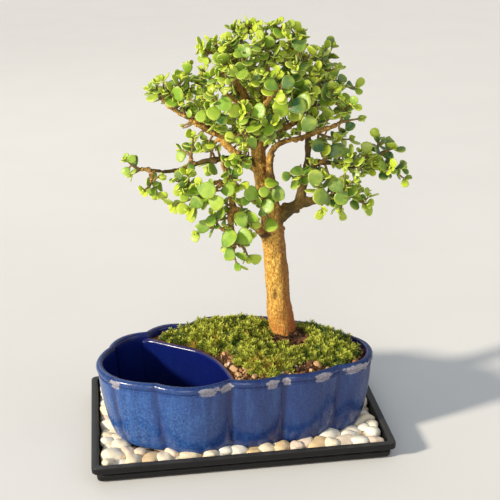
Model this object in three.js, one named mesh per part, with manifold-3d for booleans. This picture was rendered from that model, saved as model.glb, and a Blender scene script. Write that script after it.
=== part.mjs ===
// Dwarf jade bonsai in a scalloped land-and-water pot on a humidity tray.
// Units are millimetres and +Z is up. The origin is the middle of the tray's underside,
// X runs along the tray's long side and the front of the tree faces -Y.
import * as THREE from 'three';
import { mergeVertices } from 'three/addons/utils/BufferGeometryUtils.js';
import Module from 'manifold-3d';

const wasm = await Module();
wasm.setup();

// Driving dimensions.
const GAP = 0.3;
const TRAY = { length: 280, width: 190, height: 18, corner: 6, lip: 6, floor: 2.4 };
const BED = { inset: 11, depth: 11.4, bump: 2.6, cell: 11.5, waves: [17, 15] };
const WHITE_PEBBLE = { radii: [8.5, 7, 5.6], turn: 0.5, place: [-122, -66, 15.4] };
const POT = {
  centre: [0, -12],
  halfLength: 130,
  halfWidth: 78,
  baseZ: 15,
  floorZ: 24,
  rimZ: 87,
  wall: 6.5,
  footWidth: 5,
  footDepth: 1.6,
};
const DRAIN = { radius: 7, centres: [[22, -14], [80, -26]], screen: 23, thickness: 1 };
const DIVIDER = { thickness: 6, topZ: 81.5, steps: 14 };
const SOIL = { edgeZ: 80, crownZ: 90, crown: [52, 9] };
const LEAF = { width: 0.86, widestAt: 0.58, thickness: 2.4, pairs: 3, rise: 0.55, turnToLight: 0.9 };
const STEM = { base: 1.6, tip: 0.9, bare: 0.3, startNormal: new THREE.Vector3(0.2, 0.9, 0.4) };
const TWIG = { base: 2.1, tip: 1.6, sides: 4, steps: 2, reach: 0.5, droop: 0.06, lean: 0.18 };

// Direction the sun comes from. Leaves turn their broad faces towards it.
const LIGHT = new THREE.Vector3(-0.3, -0.45, 0.85);

// Cusps of the pot's rim, anticlockwise from the left front. Each is joined to the next
// by a lobe that bulges out by the third number.
const RIM_CUSPS = [
  [-117, -55, 3],
  [-80, -75, 12],
  [-12, -79, 6],
  [39, -77, 6],
  [92, -66, 4],
  [124, -52, 13.5],
  [107, 7, 8],
  [58, 49, 7],
  [10, 66, 11],
  [-39, 57, 9],
  [-82, 45, 9],
  [-119, 16, 12.5],
];

// Tray section: inset from its edge and height, from the underside up, over the lip and down inside.
const TRAY_PROFILE = [
  [9, 0],
  [5.6, 1.6],
  [4.6, 2.4],
  [4, 7.2],
  [6.8, 7.8],
  [6.8, 10.8],
  [0.6, 11.4],
  [0, 12],
  [0, TRAY.height - 0.8],
  [0.8, TRAY.height],
  [TRAY.lip, TRAY.height],
  [TRAY.lip + 0.8, TRAY.height - 1],
  [9.6, TRAY.floor],
];

// Rim section: inset and depth under the top of the rim, from the outside over to the inside.
const RIM_PROFILE = [
  [0, 4.6],
  [0, 2],
  [1.6, 0.4],
  [3.4, 0],
  [5.4, 0.5],
];

// Height above the foot, and inset at the ends and sides, up the outside of the pot's wall.
const WALL_PROFILE = [
  [0, 15, 9.5],
  [2, 12.5, 8],
  [8, 9.8, 6.4],
  [18, 7, 4.7],
  [32, 4.4, 3],
  [48, 2.2, 1.6],
  [66, 0.8, 0.8],
];

// The same up the inside, from the floor to where the wall becomes even in thickness.
const FLOOR_PROFILE = [
  [9, 25, 18],
  [11, 19.5, 14.5],
];

// Middle line of the divider, from the back wall to the front wall.
const DIVIDER_LINE = [
  [-85, 44],
  [-64, 27],
  [-48, 15],
  [-31, 1],
  [-17, -23],
  [-9, -51],
  [-4, -80],
];

// Trunk, main stems and branches: points along the middle, each with its radius.
const BRANCHES = {
  trunk: [
    [53, 12, 46, 14], [53, 12, 66, 15], [52, 11, 84, 13.6], [50, 10, 100, 12.4], [47, 8, 124, 11.7],
    [45, 6, 154, 11.3], [43, 4, 184, 11], [41, 3, 208, 10.4], [38, 4, 228, 8.8],
  ],
  leader: [
    [40, 3, 216, 9], [35, 5, 240, 7.8], [32, 6, 259, 7], [30, 6, 278, 6.6], [28, 4, 296, 6.2],
    [23, 2, 313, 5.4], [17, 0, 330, 4.5], [11, -2, 346, 3.6], [10, 0, 360, 2.8],
  ],
  mid_leader: [
    [28, 4, 296, 5], [35, 10, 311, 4.5], [39, 13, 328, 4], [40, 12, 346, 3.4], [41, 10, 362, 2.6],
  ],
  right_leader: [
    [29, 6, 283, 5], [43, 14, 302, 4.5], [54, 17, 318, 4.1], [62, 16, 334, 3.4], [67, 12, 350, 2.6],
  ],
  second_stem: [
    [45, -1, 216, 5], [42, -7, 240, 4], [40, -8, 262, 3.5], [41, -9, 276, 3.4],
    [46, -9, 284, 3.3], [57, -9, 288, 3.3], [70, -11, 291, 3.1], [92, -16, 299, 2.6],
  ],
  right_low: [
    [43, 1, 207, 6.8], [50, -1, 216, 6.3], [57, -4, 221, 5.7], [66, -8, 226, 5], [78, -14, 230, 4],
    [91, -19, 234, 3.2], [104, -24, 239, 2.6],
  ],
  right_long: [
    [65, -8, 226, 5], [68, -8, 240, 4], [74, -4, 254, 3.1], [84, 0, 262, 2.8], [98, 2, 261, 2.6],
    [111, 2, 257, 2.4], [123, 0, 257, 2.2], [134, -3, 256, 1.9],
  ],
  right_riser: [
    [66, -6, 230, 3.4], [73, 8, 249, 3.2], [78, 16, 266, 3.2], [79, 20, 282, 3.2],
    [83, 23, 298, 2.8], [86, 24, 315, 2.4], [89, 21, 330, 2.1],
  ],
  left_low: [
    [36, -1, 190, 5.2], [25, -10, 207, 4.6], [13, -18, 218, 4.3], [4, -20, 229, 4.1],
    [-1, -20, 242, 3.6], [-5, -18, 254, 2.9], [-7, -14, 266, 2.3],
  ],
  left_drop: [[3, -20, 230, 3.8], [0, -25, 223, 3.5], [0, -31, 214, 3], [2, -36, 205, 2.3]],
  left_mid: [
    [31, 6, 260, 4.8], [18, -2, 270, 4], [4, -8, 274, 3.5], [-10, -12, 275, 3.2], [-23, -14, 274, 3],
    [-35, -16, 271, 2.8], [-46, -18, 269, 2.5], [-58, -20, 269, 2.2], [-70, -22, 272, 1.9],
  ],
  left_upper: [
    [30, 5, 279, 5.8], [16, -2, 288, 5.2], [2, -8, 294, 4.8], [-11, -12, 300, 4.4],
    [-22, -16, 307, 4], [-32, -18, 315, 3.4], [-42, -21, 322, 2.7], [-50, -23, 328, 2.2],
  ],
  back_leader: [[30, 6, 272, 5], [32, 22, 286, 4.4], [36, 38, 302, 3.8], [41, 54, 314, 3]],
  back_left: [[32, 6, 252, 4.8], [18, 18, 264, 4.2], [4, 32, 276, 3.6], [-8, 42, 292, 3]],
  back_right: [[31, 7, 267, 4.6], [45, 20, 277, 4.2], [62, 33, 283, 3.8], [80, 43, 288, 3]],
};

// Roots inside the soil, from under the trunk outwards.
const ROOTS = [
  [[53, 12, 62, 9], [34, 12, 54, 6], [10, 18, 46, 3], [-6, 16, 38, 1.5]],
  [[53, 12, 62, 9], [44, -16, 55, 6], [28, -36, 46, 3], [14, -46, 38, 1.5]],
  [[53, 12, 62, 9], [72, -10, 55, 6], [88, -28, 46, 3], [98, -36, 38, 1.5]],
  [[53, 12, 62, 9], [62, 20, 54, 6], [58, 32, 44, 3], [48, 36, 36, 1.5]],
];

// Moss cushions on the soil: outline seen from above and greatest thickness over the soil's edge.
const MOSS = {
  moss_left: {
    outline: [
      [-62, 36], [-46, 22], [-32, 8], [-20, -8], [-6, -11], [6, -15], [22, -16], [34, -8],
      [35, 12], [38, 32], [30, 49], [10, 54], [-14, 58], [-36, 46], [-54, 44],
    ],
    height: 14,
  },
  moss_front: {
    outline: [
      [0, -19], [3, -36], [7, -52], [16, -65], [32, -69], [46, -62], [54, -50], [48, -38], [42, -24],
      [34, -18], [16, -19],
    ],
    height: 12,
  },
  moss_right: {
    outline: [
      [48, -22], [52, -34], [58, -47], [74, -51], [92, -55], [108, -47], [114, -30], [106, -8],
      [92, 12], [76, 27], [70, 25], [72, 12], [66, -4], [56, -12],
    ],
    height: 13,
  },
};

// Leafy sprays. Each grows from a twig on its branch and forks to its tips.
const SPRAYS = [
  { name: 'left_tip', branch: 'left_mid', leaf: 12, tips: [[-90, -30, 284], [-86, -22, 269]] },
  { name: 'left_tip_low', branch: 'left_mid', leaf: 12, tips: [[-65, -28, 252], [-76, -36, 258]] },
  { name: 'left_hanging', branch: 'left_mid', leaf: 13, tips: [[-50, -34, 242], [-38, -32, 257]] },
  { name: 'left_rosette', branch: 'left_mid', leaf: 12, tips: [[-31, -26, 300], [-40, -8, 284]] },
  { name: 'left_arm', branch: 'left_low', leaf: 16, tips: [[-27, -42, 259], [-37, -46, 241]] },
  { name: 'left_curl', branch: 'left_drop', leaf: 12, tips: [[-31, -47, 220], [-18, -46, 234]] },
  { name: 'left_drop_tip', branch: 'left_drop', leaf: 14, tips: [[2, -46, 186], [-8, -52, 208]] },
  { name: 'left_drop_side', branch: 'left_drop', leaf: 14, tips: [[15, -42, 208], [13, -36, 190]] },
  { name: 'left_low_inner', branch: 'left_low', leaf: 12, tips: [[20, -38, 226], [9, -36, 240]] },
  { name: 'inner_left', branch: 'left_mid', leaf: 13, tips: [[7, -34, 256], [-4, -34, 259]] },
  { name: 'inner_left_up', branch: 'left_mid', leaf: 12, tips: [[-3, -42, 284], [14, -38, 280]] },
  { name: 'upper_left_tip', branch: 'left_upper', leaf: 12, tips: [[-66, -32, 346], [-54, -18, 350]] },
  { name: 'upper_left_a', branch: 'left_upper', leaf: 13, tips: [[-39, -26, 351], [-48, -38, 342]] },
  { name: 'upper_left_low', branch: 'left_upper', leaf: 11, tips: [[-44, -40, 312], [-24, -46, 325]] },
  { name: 'upper_left_b', branch: 'left_upper', leaf: 12, tips: [[-31, 4, 357], [-20, -18, 352]] },
  { name: 'upper_left_c', branch: 'left_upper', leaf: 14, tips: [[-8, -54, 334], [-13, -48, 314]] },
  { name: 'top_left_a', branch: 'leader', leaf: 12, tips: [[-18, -4, 374], [-8, 16, 374]] },
  { name: 'top_left_b', branch: 'leader', leaf: 12, tips: [[4, -20, 380], [-4, -36, 364]] },
  { name: 'top_left_c', branch: 'leader', leaf: 12, tips: [[16, -36, 374], [10, -52, 358]] },
  { name: 'top_a', branch: 'leader', leaf: 12, tips: [[24, 2, 390], [10, 2, 388]] },
  { name: 'top_b', branch: 'mid_leader', leaf: 12, tips: [[49, 2, 390], [37, 22, 382]] },
  { name: 'top_front', branch: 'mid_leader', leaf: 12, tips: [[33, -16, 380], [44, -26, 366]] },
  { name: 'mid_front_a', branch: 'mid_leader', leaf: 14, tips: [[28, -46, 352], [42, -52, 343]] },
  { name: 'mid_front_b', branch: 'leader', leaf: 13, tips: [[10, -60, 328], [16, -56, 311]] },
  { name: 'mid_front_c', branch: 'leader', leaf: 13, tips: [[23, -46, 296], [35, -56, 316]] },
  { name: 'top_right_a', branch: 'right_leader', leaf: 13, tips: [[71, 6, 381], [59, -6, 378]] },
  { name: 'top_right_b', branch: 'right_leader', leaf: 14, tips: [[76, -12, 366], [61, -34, 362]] },
  { name: 'mid_right_a', branch: 'right_leader', leaf: 15, tips: [[52, -58, 330], [66, -46, 338]] },
  { name: 'mid_right_b', branch: 'right_leader', leaf: 12, tips: [[52, -36, 350], [56, -14, 362]] },
  { name: 'upper_right_a', branch: 'right_riser', leaf: 13, tips: [[102, 22, 364], [88, 2, 360]] },
  { name: 'upper_right_b', branch: 'right_riser', leaf: 13, tips: [[83, -18, 343], [94, -26, 328]] },
  { name: 'upper_right_c', branch: 'right_riser', leaf: 12, tips: [[122, 14, 328], [110, 30, 342]] },
  { name: 'right_shoulder', branch: 'second_stem', leaf: 15, tips: [[66, -53, 311], [87, -42, 314]] },
  { name: 'right_shoulder_tip', branch: 'second_stem', leaf: 12, tips: [[105, -30, 322], [116, -28, 309]] },
  { name: 'right_mid_a', branch: 'right_long', leaf: 13, tips: [[96, -26, 289], [80, -36, 286]] },
  { name: 'right_mid_b', branch: 'right_long', leaf: 13, tips: [[109, -32, 276], [127, -14, 271]] },
  { name: 'right_tip_up', branch: 'right_long', leaf: 13, tips: [[150, -18, 277], [142, 6, 280]] },
  { name: 'right_tip', branch: 'right_long', leaf: 13, tips: [[161, -8, 255], [145, -30, 262]] },
  { name: 'right_inner', branch: 'right_riser', leaf: 12, tips: [[53, -36, 264], [64, -28, 270]] },
  { name: 'right_low_a', branch: 'right_low', leaf: 15, tips: [[74, -48, 260], [80, -50, 244]] },
  { name: 'right_low_b', branch: 'right_low', leaf: 13, tips: [[99, -50, 250], [97, -46, 231]] },
  { name: 'right_low_c', branch: 'right_low', leaf: 13, tips: [[121, -40, 233], [122, -12, 236]] },
  { name: 'trunk_front', branch: 'leader', leaf: 12, tips: [[28, -30, 238], [42, -32, 252]] },
  { name: 'back_left_low', branch: 'back_left', leaf: 14, tips: [[-24, 44, 269], [-12, 56, 248]] },
  { name: 'back_left_high', branch: 'back_left', leaf: 13, tips: [[-26, 60, 314], [-14, 42, 336]] },
  { name: 'back_top', branch: 'back_leader', leaf: 13, tips: [[28, 60, 348], [58, 84, 322]] },
  { name: 'back_middle', branch: 'back_leader', leaf: 14, tips: [[16, 80, 290], [41, 66, 272]] },
  { name: 'back_right_high', branch: 'back_right', leaf: 13, tips: [[88, 66, 333], [116, 56, 303]] },
  { name: 'back_right_low', branch: 'back_right', leaf: 14, tips: [[92, 58, 258], [123, 44, 271]] },
];

const MATERIALS = {
  tray: new THREE.MeshStandardMaterial({ color: 0x2c2c2b, roughness: 0.55, metalness: 0 }),
  pebble: new THREE.MeshStandardMaterial({ color: 0xeadfc8, roughness: 0.6, metalness: 0 }),
  glaze: new THREE.MeshStandardMaterial({ color: 0x2c4c96, roughness: 0.18, metalness: 0 }),
  screen: new THREE.MeshStandardMaterial({ color: 0x33423a, roughness: 0.7, metalness: 0 }),
  soil: new THREE.MeshStandardMaterial({ color: 0x5e4128, roughness: 0.95, metalness: 0 }),
  moss: new THREE.MeshStandardMaterial({ color: 0x7f9a2c, roughness: 0.95, metalness: 0 }),
  bark: new THREE.MeshStandardMaterial({ color: 0xb07a3c, roughness: 0.85, metalness: 0 }),
  leaf: new THREE.MeshStandardMaterial({ color: 0x86b23c, roughness: 0.45, metalness: 0 }),
};

const object = new THREE.Group();

// Adds one named piece to the object.
function addPiece(name, geometry, material) {
  const mesh = new THREE.Mesh(geometry, material);
  mesh.name = name;
  object.add(mesh);
}

// A closed geometry as a solid that can be joined and cut.
function toSolid(geometry) {
  const bare = geometry.clone();
  bare.deleteAttribute('normal');
  bare.deleteAttribute('uv');
  const merged = mergeVertices(bare, 1e-4);
  const vertProperties = new Float32Array(merged.attributes.position.array);
  const triVerts = new Uint32Array(merged.index.array);
  return new wasm.Manifold(new wasm.Mesh({ numProp: 3, vertProperties, triVerts }));
}

// A solid back as a geometry, without the slivers that joins and cuts leave.
function toGeometry(solid, tolerance = 0.02) {
  const mesh = solid.simplify(tolerance).getMesh();
  const geometry = new THREE.BufferGeometry();
  const positions = new Float32Array(mesh.numVert * 3);
  for (let i = 0; i < mesh.numVert; i += 1) {
    for (let k = 0; k < 3; k += 1) {
      positions[3 * i + k] = mesh.vertProperties[mesh.numProp * i + k];
    }
  }
  geometry.setAttribute('position', new THREE.BufferAttribute(positions, 3));
  geometry.setIndex(Array.from(mesh.triVerts));
  geometry.computeVertexNormals();
  return geometry;
}

// A closed skin over a stack of rings with equal counts, closed by a fan at each end.
function loftGeometry(rings) {
  const count = rings[0].length;
  const points = rings.flat();
  const middle = (ring) => ring.reduce((sum, p) => sum.add(p), new THREE.Vector3()).divideScalar(count);
  points.push(middle(rings[0]), middle(rings[rings.length - 1]));
  const indices = [];
  for (let r = 0; r < rings.length - 1; r += 1) {
    for (let i = 0; i < count; i += 1) {
      const a = r * count + i;
      const b = r * count + ((i + 1) % count);
      indices.push(a, b, b + count, a, b + count, a + count);
    }
  }
  const last = (rings.length - 1) * count;
  for (let i = 0; i < count; i += 1) {
    const j = (i + 1) % count;
    indices.push(points.length - 2, j, i, points.length - 1, last + i, last + j);
  }
  const geometry = new THREE.BufferGeometry().setFromPoints(points);
  geometry.setIndex(indices);
  return geometry;
}

// A smooth line through points that also carry a radius.
function branchLine(points) {
  const places = points.map(([x, y, z]) => new THREE.Vector3(x, y, z));
  const curve = new THREE.CatmullRomCurve3(places, false, 'catmullrom', 0.5);
  const radiusAt = (t) => {
    const along = t * (points.length - 1);
    const i = Math.min(Math.floor(along), points.length - 2);
    return THREE.MathUtils.lerp(points[i][3], points[i + 1][3], along - i);
  };
  return { curve, radiusAt };
}

// A tapered round stem along a curve.
function stemGeometry(curve, steps, sides, radiusAt) {
  const rings = [];
  let normal = new THREE.Vector3(0.3, 1, 0.2);
  for (let s = 0; s <= steps; s += 1) {
    const t = s / steps;
    const centre = curve.getPoint(t);
    const tangent = curve.getTangent(t);
    normal = normal.clone().addScaledVector(tangent, -normal.dot(tangent)).normalize();
    const side = new THREE.Vector3().crossVectors(tangent, normal);
    const radius = radiusAt(t);
    const ring = [];
    for (let k = 0; k < sides; k += 1) {
      const angle = (2 * Math.PI * k) / sides;
      ring.push(
        centre.clone()
          .addScaledVector(normal, radius * Math.cos(angle))
          .addScaledVector(side, radius * Math.sin(angle)),
      );
    }
    rings.push(ring);
  }
  return loftGeometry(rings);
}

// Humidity tray.
function trayRing(inset, z) {
  const corner = Math.max(TRAY.corner - inset * 0.4, 1.5);
  const halfX = TRAY.length / 2 - inset - corner;
  const halfY = TRAY.width / 2 - inset - corner;
  const ring = [];
  const stepsPerCorner = 4;
  const corners = [[1, 1], [-1, 1], [-1, -1], [1, -1]];
  corners.forEach(([sx, sy], quarter) => {
    for (let i = 0; i < stepsPerCorner; i += 1) {
      const angle = (quarter + i / (stepsPerCorner - 1)) * (Math.PI / 2);
      ring.push(new THREE.Vector3(
        sx * halfX + corner * Math.cos(angle),
        sy * halfY + corner * Math.sin(angle),
        z,
      ));
    }
  });
  return ring;
}

function trayGeometry() {
  return loftGeometry(TRAY_PROFILE.map(([inset, z]) => trayRing(inset, z)));
}

// Pebbles: a bumpy bed that fills the tray up to the pot's foot.
function bedTop(x, y) {
  const [longWave, shortWave] = BED.waves;
  const wave = Math.cos((2 * Math.PI * x) / longWave) * Math.cos((2 * Math.PI * y) / shortWave);
  const drift = Math.sin(x * 0.21 + 1.3) * Math.sin(y * 0.27 + 0.4);
  const level = TRAY.floor + GAP + BED.depth;
  return Math.min(level + 0.5 * BED.bump * (wave + drift), POT.baseZ - GAP);
}

function bedGeometry() {
  const halfX = TRAY.length / 2 - BED.inset;
  const halfY = TRAY.width / 2 - BED.inset;
  const columns = Math.round((2 * halfX) / BED.cell);
  const rows = Math.round((2 * halfY) / BED.cell);
  const box = new THREE.BoxGeometry(2 * halfX, 2 * halfY, BED.depth, columns, rows, 1);
  const place = box.attributes.position;
  for (let i = 0; i < place.count; i += 1) {
    const x = place.getX(i);
    const y = place.getY(i);
    const bottom = TRAY.floor + GAP;
    place.setZ(i, place.getZ(i) > 0 ? bedTop(x, y) : bottom);
  }
  return box;
}

// A rounded stone that sits proud of the bed, or the hollow for it when it is grown.
function whitePebble(grow = 0) {
  const stone = new THREE.IcosahedronGeometry(1, 1);
  stone.scale(...WHITE_PEBBLE.radii.map((radius) => radius + grow));
  stone.rotateZ(WHITE_PEBBLE.turn);
  stone.translate(...WHITE_PEBBLE.place);
  return toSolid(stone);
}

// Pot: lobed outline, wall profile, divider and drain holes.
function rimOutline(stepsPerLobe) {
  const outline = [];
  RIM_CUSPS.forEach(([x, y, bulge], i) => {
    const [nextX, nextY] = RIM_CUSPS[(i + 1) % RIM_CUSPS.length];
    const length = Math.hypot(nextX - x, nextY - y);
    const outX = (nextY - y) / length;
    const outY = -(nextX - x) / length;
    for (let k = 0; k < stepsPerLobe; k += 1) {
      const s = k / stepsPerLobe;
      const out = 4 * bulge * s * (1 - s);
      outline.push([x + (nextX - x) * s + outX * out, y + (nextY - y) * s + outY * out]);
    }
  });
  return outline;
}

const OUTLINE = rimOutline(4);

// The outline drawn in by one amount at the ends and another along the sides.
function potRing(insetEnds, insetSides, z) {
  const [cx, cy] = POT.centre;
  const scaleX = 1 - insetEnds / POT.halfLength;
  const scaleY = 1 - insetSides / POT.halfWidth;
  return OUTLINE.map(([x, y]) => new THREE.Vector3(cx + (x - cx) * scaleX, cy + (y - cy) * scaleY, z));
}

function potOutside() {
  return WALL_PROFILE.map(([up, ends, sides]) => potRing(ends, sides, POT.baseZ + up));
}

// Rings up the inside of the wall, drawn in further by a margin.
function potInside(margin, topZ) {
  const rings = FLOOR_PROFILE.map(([up, ends, sides]) => (
    potRing(ends + margin, sides + margin, POT.baseZ + up + margin)
  ));
  const evenFrom = FLOOR_PROFILE[FLOOR_PROFILE.length - 1][0] + POT.wall;
  const drawn = POT.wall + margin;
  WALL_PROFILE.filter(([up]) => up > evenFrom && POT.baseZ + up < topZ).forEach(([up, ends, sides]) => {
    rings.push(potRing(ends + drawn, sides + drawn, POT.baseZ + up));
  });
  rings.push(potRing(drawn + 0.6, drawn + 0.6, topZ));
  return rings;
}

function potShell() {
  const [, footEnds, footSides] = WALL_PROFILE[0];
  return toSolid(loftGeometry([
    potRing(footEnds + POT.footWidth + 2, footSides + POT.footWidth + 2, POT.baseZ + POT.footDepth),
    potRing(footEnds + POT.footWidth, footSides + POT.footWidth, POT.baseZ),
    ...potOutside(),
    ...RIM_PROFILE.map(([inset, under]) => potRing(inset, inset, POT.rimZ - under)),
    ...potInside(0, POT.rimZ - 3).reverse(),
  ]));
}

// Points along the divider's line, moved sideways by an offset.
function dividerEdge(offset) {
  const line = new THREE.SplineCurve(DIVIDER_LINE.map(([x, y]) => new THREE.Vector2(x, y)));
  const edge = [];
  for (let i = 0; i <= DIVIDER.steps; i += 1) {
    const t = i / DIVIDER.steps;
    const tangent = line.getTangent(t);
    edge.push(line.getPoint(t).add(new THREE.Vector2(-tangent.y, tangent.x).multiplyScalar(offset)));
  }
  return edge;
}

// A wall of even thickness along the divider's line, between two heights.
function dividerBand(fromZ, toZ) {
  const half = DIVIDER.thickness / 2;
  const shape = new THREE.Shape([...dividerEdge(half), ...dividerEdge(-half).reverse()]);
  const wall = new THREE.ExtrudeGeometry(shape, { depth: toZ - fromZ, bevelEnabled: false });
  wall.translate(0, 0, fromZ);
  return toSolid(wall);
}

// Everything on the planting side of the divider, as a block that reaches past the pot.
function plantingSide(offset) {
  const reach = 2 * POT.halfLength;
  const edge = dividerEdge(offset);
  const shape = new THREE.Shape([
    new THREE.Vector2(edge[0].x, reach),
    ...edge,
    new THREE.Vector2(edge[DIVIDER.steps].x, -reach),
    new THREE.Vector2(reach, -reach),
    new THREE.Vector2(reach, reach),
  ]);
  return toSolid(new THREE.ExtrudeGeometry(shape, { depth: 2 * POT.rimZ, bevelEnabled: false }));
}

function drainHole([x, y]) {
  const hole = new THREE.CylinderGeometry(DRAIN.radius, DRAIN.radius, 2 * POT.baseZ, 12);
  hole.rotateX(Math.PI / 2);
  hole.translate(x, y, (POT.baseZ + POT.floorZ) / 2);
  return toSolid(hole);
}

function potSolid() {
  const intoWall = POT.wall / 2;
  const core = WALL_PROFILE.map(([up, ends, sides]) => (
    potRing(ends + intoWall, sides + intoWall, POT.baseZ + up)
  ));
  const divider = dividerBand(POT.floorZ - intoWall, DIVIDER.topZ).intersect(toSolid(loftGeometry(core)));
  return DRAIN.centres.reduce((pot, place) => pot.subtract(drainHole(place)), potShell().add(divider));
}

// A square of plastic mesh over a drain hole.
function drainScreen([x, y]) {
  const meshesAcross = 3;
  const bar = 2;
  const opening = (DRAIN.screen - bar) / meshesAcross - bar;
  let screen = toSolid(new THREE.BoxGeometry(DRAIN.screen, DRAIN.screen, DRAIN.thickness));
  for (let i = 0; i < meshesAcross; i += 1) {
    for (let j = 0; j < meshesAcross; j += 1) {
      const mesh = new THREE.BoxGeometry(opening, opening, 2 * DRAIN.thickness);
      const step = opening + bar;
      const first = -((meshesAcross - 1) / 2) * step;
      mesh.translate(first + i * step, first + j * step, 0);
      screen = screen.subtract(toSolid(mesh));
    }
  }
  return screen.translate(x, y, POT.floorZ + GAP + DRAIN.thickness / 2);
}

// Soil: fills the planting side, low along the rim and mounded around the trunk.
function soilMound() {
  const inside = potInside(GAP, SOIL.edgeZ);
  const edge = inside[inside.length - 1];
  const crown = new THREE.Vector3(...SOIL.crown, 0);
  const rise = SOIL.crownZ - SOIL.edgeZ;
  const mound = [[0.8, 0.45], [0.55, 0.75], [0.28, 0.95]].map(([spread, part]) => (
    edge.map((p) => crown.clone().lerp(p, spread).setZ(SOIL.edgeZ + part * rise))
  ));
  return toSolid(loftGeometry([...inside, ...mound]));
}

// Moss: low cushions whose underside follows the soil.
function mossCushion(outline, height, soilUnder) {
  const places = outline.map(([x, y]) => new THREE.Vector3(x, y, 0));
  const centre = places.reduce((sum, p) => sum.add(p), new THREE.Vector3()).divideScalar(places.length);
  const ring = (scale, z) => places.map((p) => centre.clone().lerp(p, scale).setZ(z));
  const cushion = toSolid(loftGeometry([
    ring(1, SOIL.edgeZ - 4),
    ring(1, SOIL.edgeZ + 0.4 * height),
    ring(0.93, SOIL.edgeZ + 0.75 * height),
    ring(0.6, SOIL.edgeZ + 0.93 * height),
    ring(0.25, SOIL.edgeZ + height),
  ]));
  return cushion.subtract(soilUnder);
}

// Wood: trunk, roots, branches and the twig under each spray, as one grown piece.
const LINES = Object.fromEntries(
  Object.entries(BRANCHES).map(([name, points]) => [name, branchLine(points)]),
);

function branchGeometry(name, grow = 0) {
  const { curve, radiusAt } = LINES[name];
  const sides = name === 'trunk' ? 12 : 6;
  const steps = BRANCHES[name].length - 1;
  return stemGeometry(curve, steps, sides, (t) => radiusAt(t) + grow);
}

function rootGeometry(points, grow = 0) {
  const { curve, radiusAt } = branchLine(points);
  return stemGeometry(curve, 3, 5, (t) => radiusAt(t) + grow);
}

// Place on a branch that is nearest to a point, away from the branch's own start.
function nearestOn(curve, point) {
  const samples = 60;
  const first = 6;
  let best = first / samples;
  for (let i = first; i <= samples; i += 1) {
    const t = i / samples;
    if (curve.getPoint(t).distanceTo(point) < curve.getPoint(best).distanceTo(point)) best = t;
  }
  return best;
}

// Woody twig of a spray and the soft stems that fork from its end.
function sprayLines(spray) {
  const tips = spray.tips.map((p) => new THREE.Vector3(...p));
  const aim = tips.reduce((sum, p) => sum.add(p), new THREE.Vector3()).divideScalar(tips.length);
  const parent = LINES[spray.branch].curve;
  const at = nearestOn(parent, aim);
  const start = parent.getPoint(at);
  const reach = start.distanceTo(aim);
  const fork = start.clone().lerp(aim, TWIG.reach);
  fork.z -= TWIG.droop * reach;
  const heading = parent.getTangent(at).multiplyScalar(TWIG.lean * reach);
  const bend = start.clone().lerp(fork, 0.5).add(heading);
  const twig = new THREE.QuadraticBezierCurve3(start, bend, fork);
  const out = twig.getTangent(1);
  const seat = fork.clone().addScaledVector(out, GAP);
  const stems = tips.map((tip, i) => {
    const control = seat.clone().addScaledVector(out, 0.15 * seat.distanceTo(tip));
    control.lerp(tip, i === 0 ? 0.2 : 0.35);
    return new THREE.QuadraticBezierCurve3(seat, control, tip);
  });
  return { twig, out, stems };
}

const SPRAY_LINES = SPRAYS.map(sprayLines);

function twigSolid({ twig }) {
  const radius = (t) => THREE.MathUtils.lerp(TWIG.base, TWIG.tip, t);
  return toSolid(stemGeometry(twig, TWIG.steps, TWIG.sides, radius));
}

function woodSolid() {
  const parts = Object.keys(BRANCHES).map((name) => toSolid(branchGeometry(name)));
  const roots = ROOTS.map((points) => toSolid(rootGeometry(points)));
  return wasm.Manifold.union([...parts, ...roots, ...SPRAY_LINES.map(twigSolid)]);
}

// The trunk and roots fattened, to be taken out of what surrounds them.
function trunkSpace() {
  const grow = 1.5 * GAP;
  const roots = ROOTS.map((points) => toSolid(rootGeometry(points, grow)));
  return wasm.Manifold.union([toSolid(branchGeometry('trunk', grow)), ...roots]);
}

// An even, repeatable scatter between 0 and 1.
function scatter(seed) {
  const value = Math.sin(seed * 12.9898 + 4.1414) * 43758.5453;
  return value - Math.floor(value);
}

// Four corners around a centre, anticlockwise seen against the heading.
function cornersAround(centre, normal, side, reachNormal, reachSide) {
  return [
    centre.clone().addScaledVector(normal, reachNormal),
    centre.clone().addScaledVector(side, reachSide),
    centre.clone().addScaledVector(normal, -reachNormal),
    centre.clone().addScaledVector(side, -reachSide),
  ];
}

// A fleshy leaf as its widest cross-section and its tip. The broad faces turn to the light.
function leafShape(base, direction, face, length) {
  const upper = face.clone().addScaledVector(direction, -face.dot(direction)).normalize();
  const across = new THREE.Vector3().crossVectors(upper, direction);
  const widest = base.clone().addScaledVector(direction, LEAF.widestAt * length);
  return {
    base,
    section: cornersAround(widest, across, upper, 0.5 * LEAF.width * length, 0.5 * LEAF.thickness),
    tip: base.clone().addScaledVector(direction, length),
  };
}

// The same leaf as a solid of its own, to feel for room around it.
function leafSolid({ base, section, tip }) {
  const lens = new THREE.BufferGeometry().setFromPoints([base, ...section, tip]);
  const sides = [0, 1, 2, 3].flatMap((i) => {
    const next = (i + 1) % 4;
    return [0, next + 1, i + 1, 5, i + 1, next + 1];
  });
  lens.setIndex(sides);
  return toSolid(lens);
}

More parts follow.
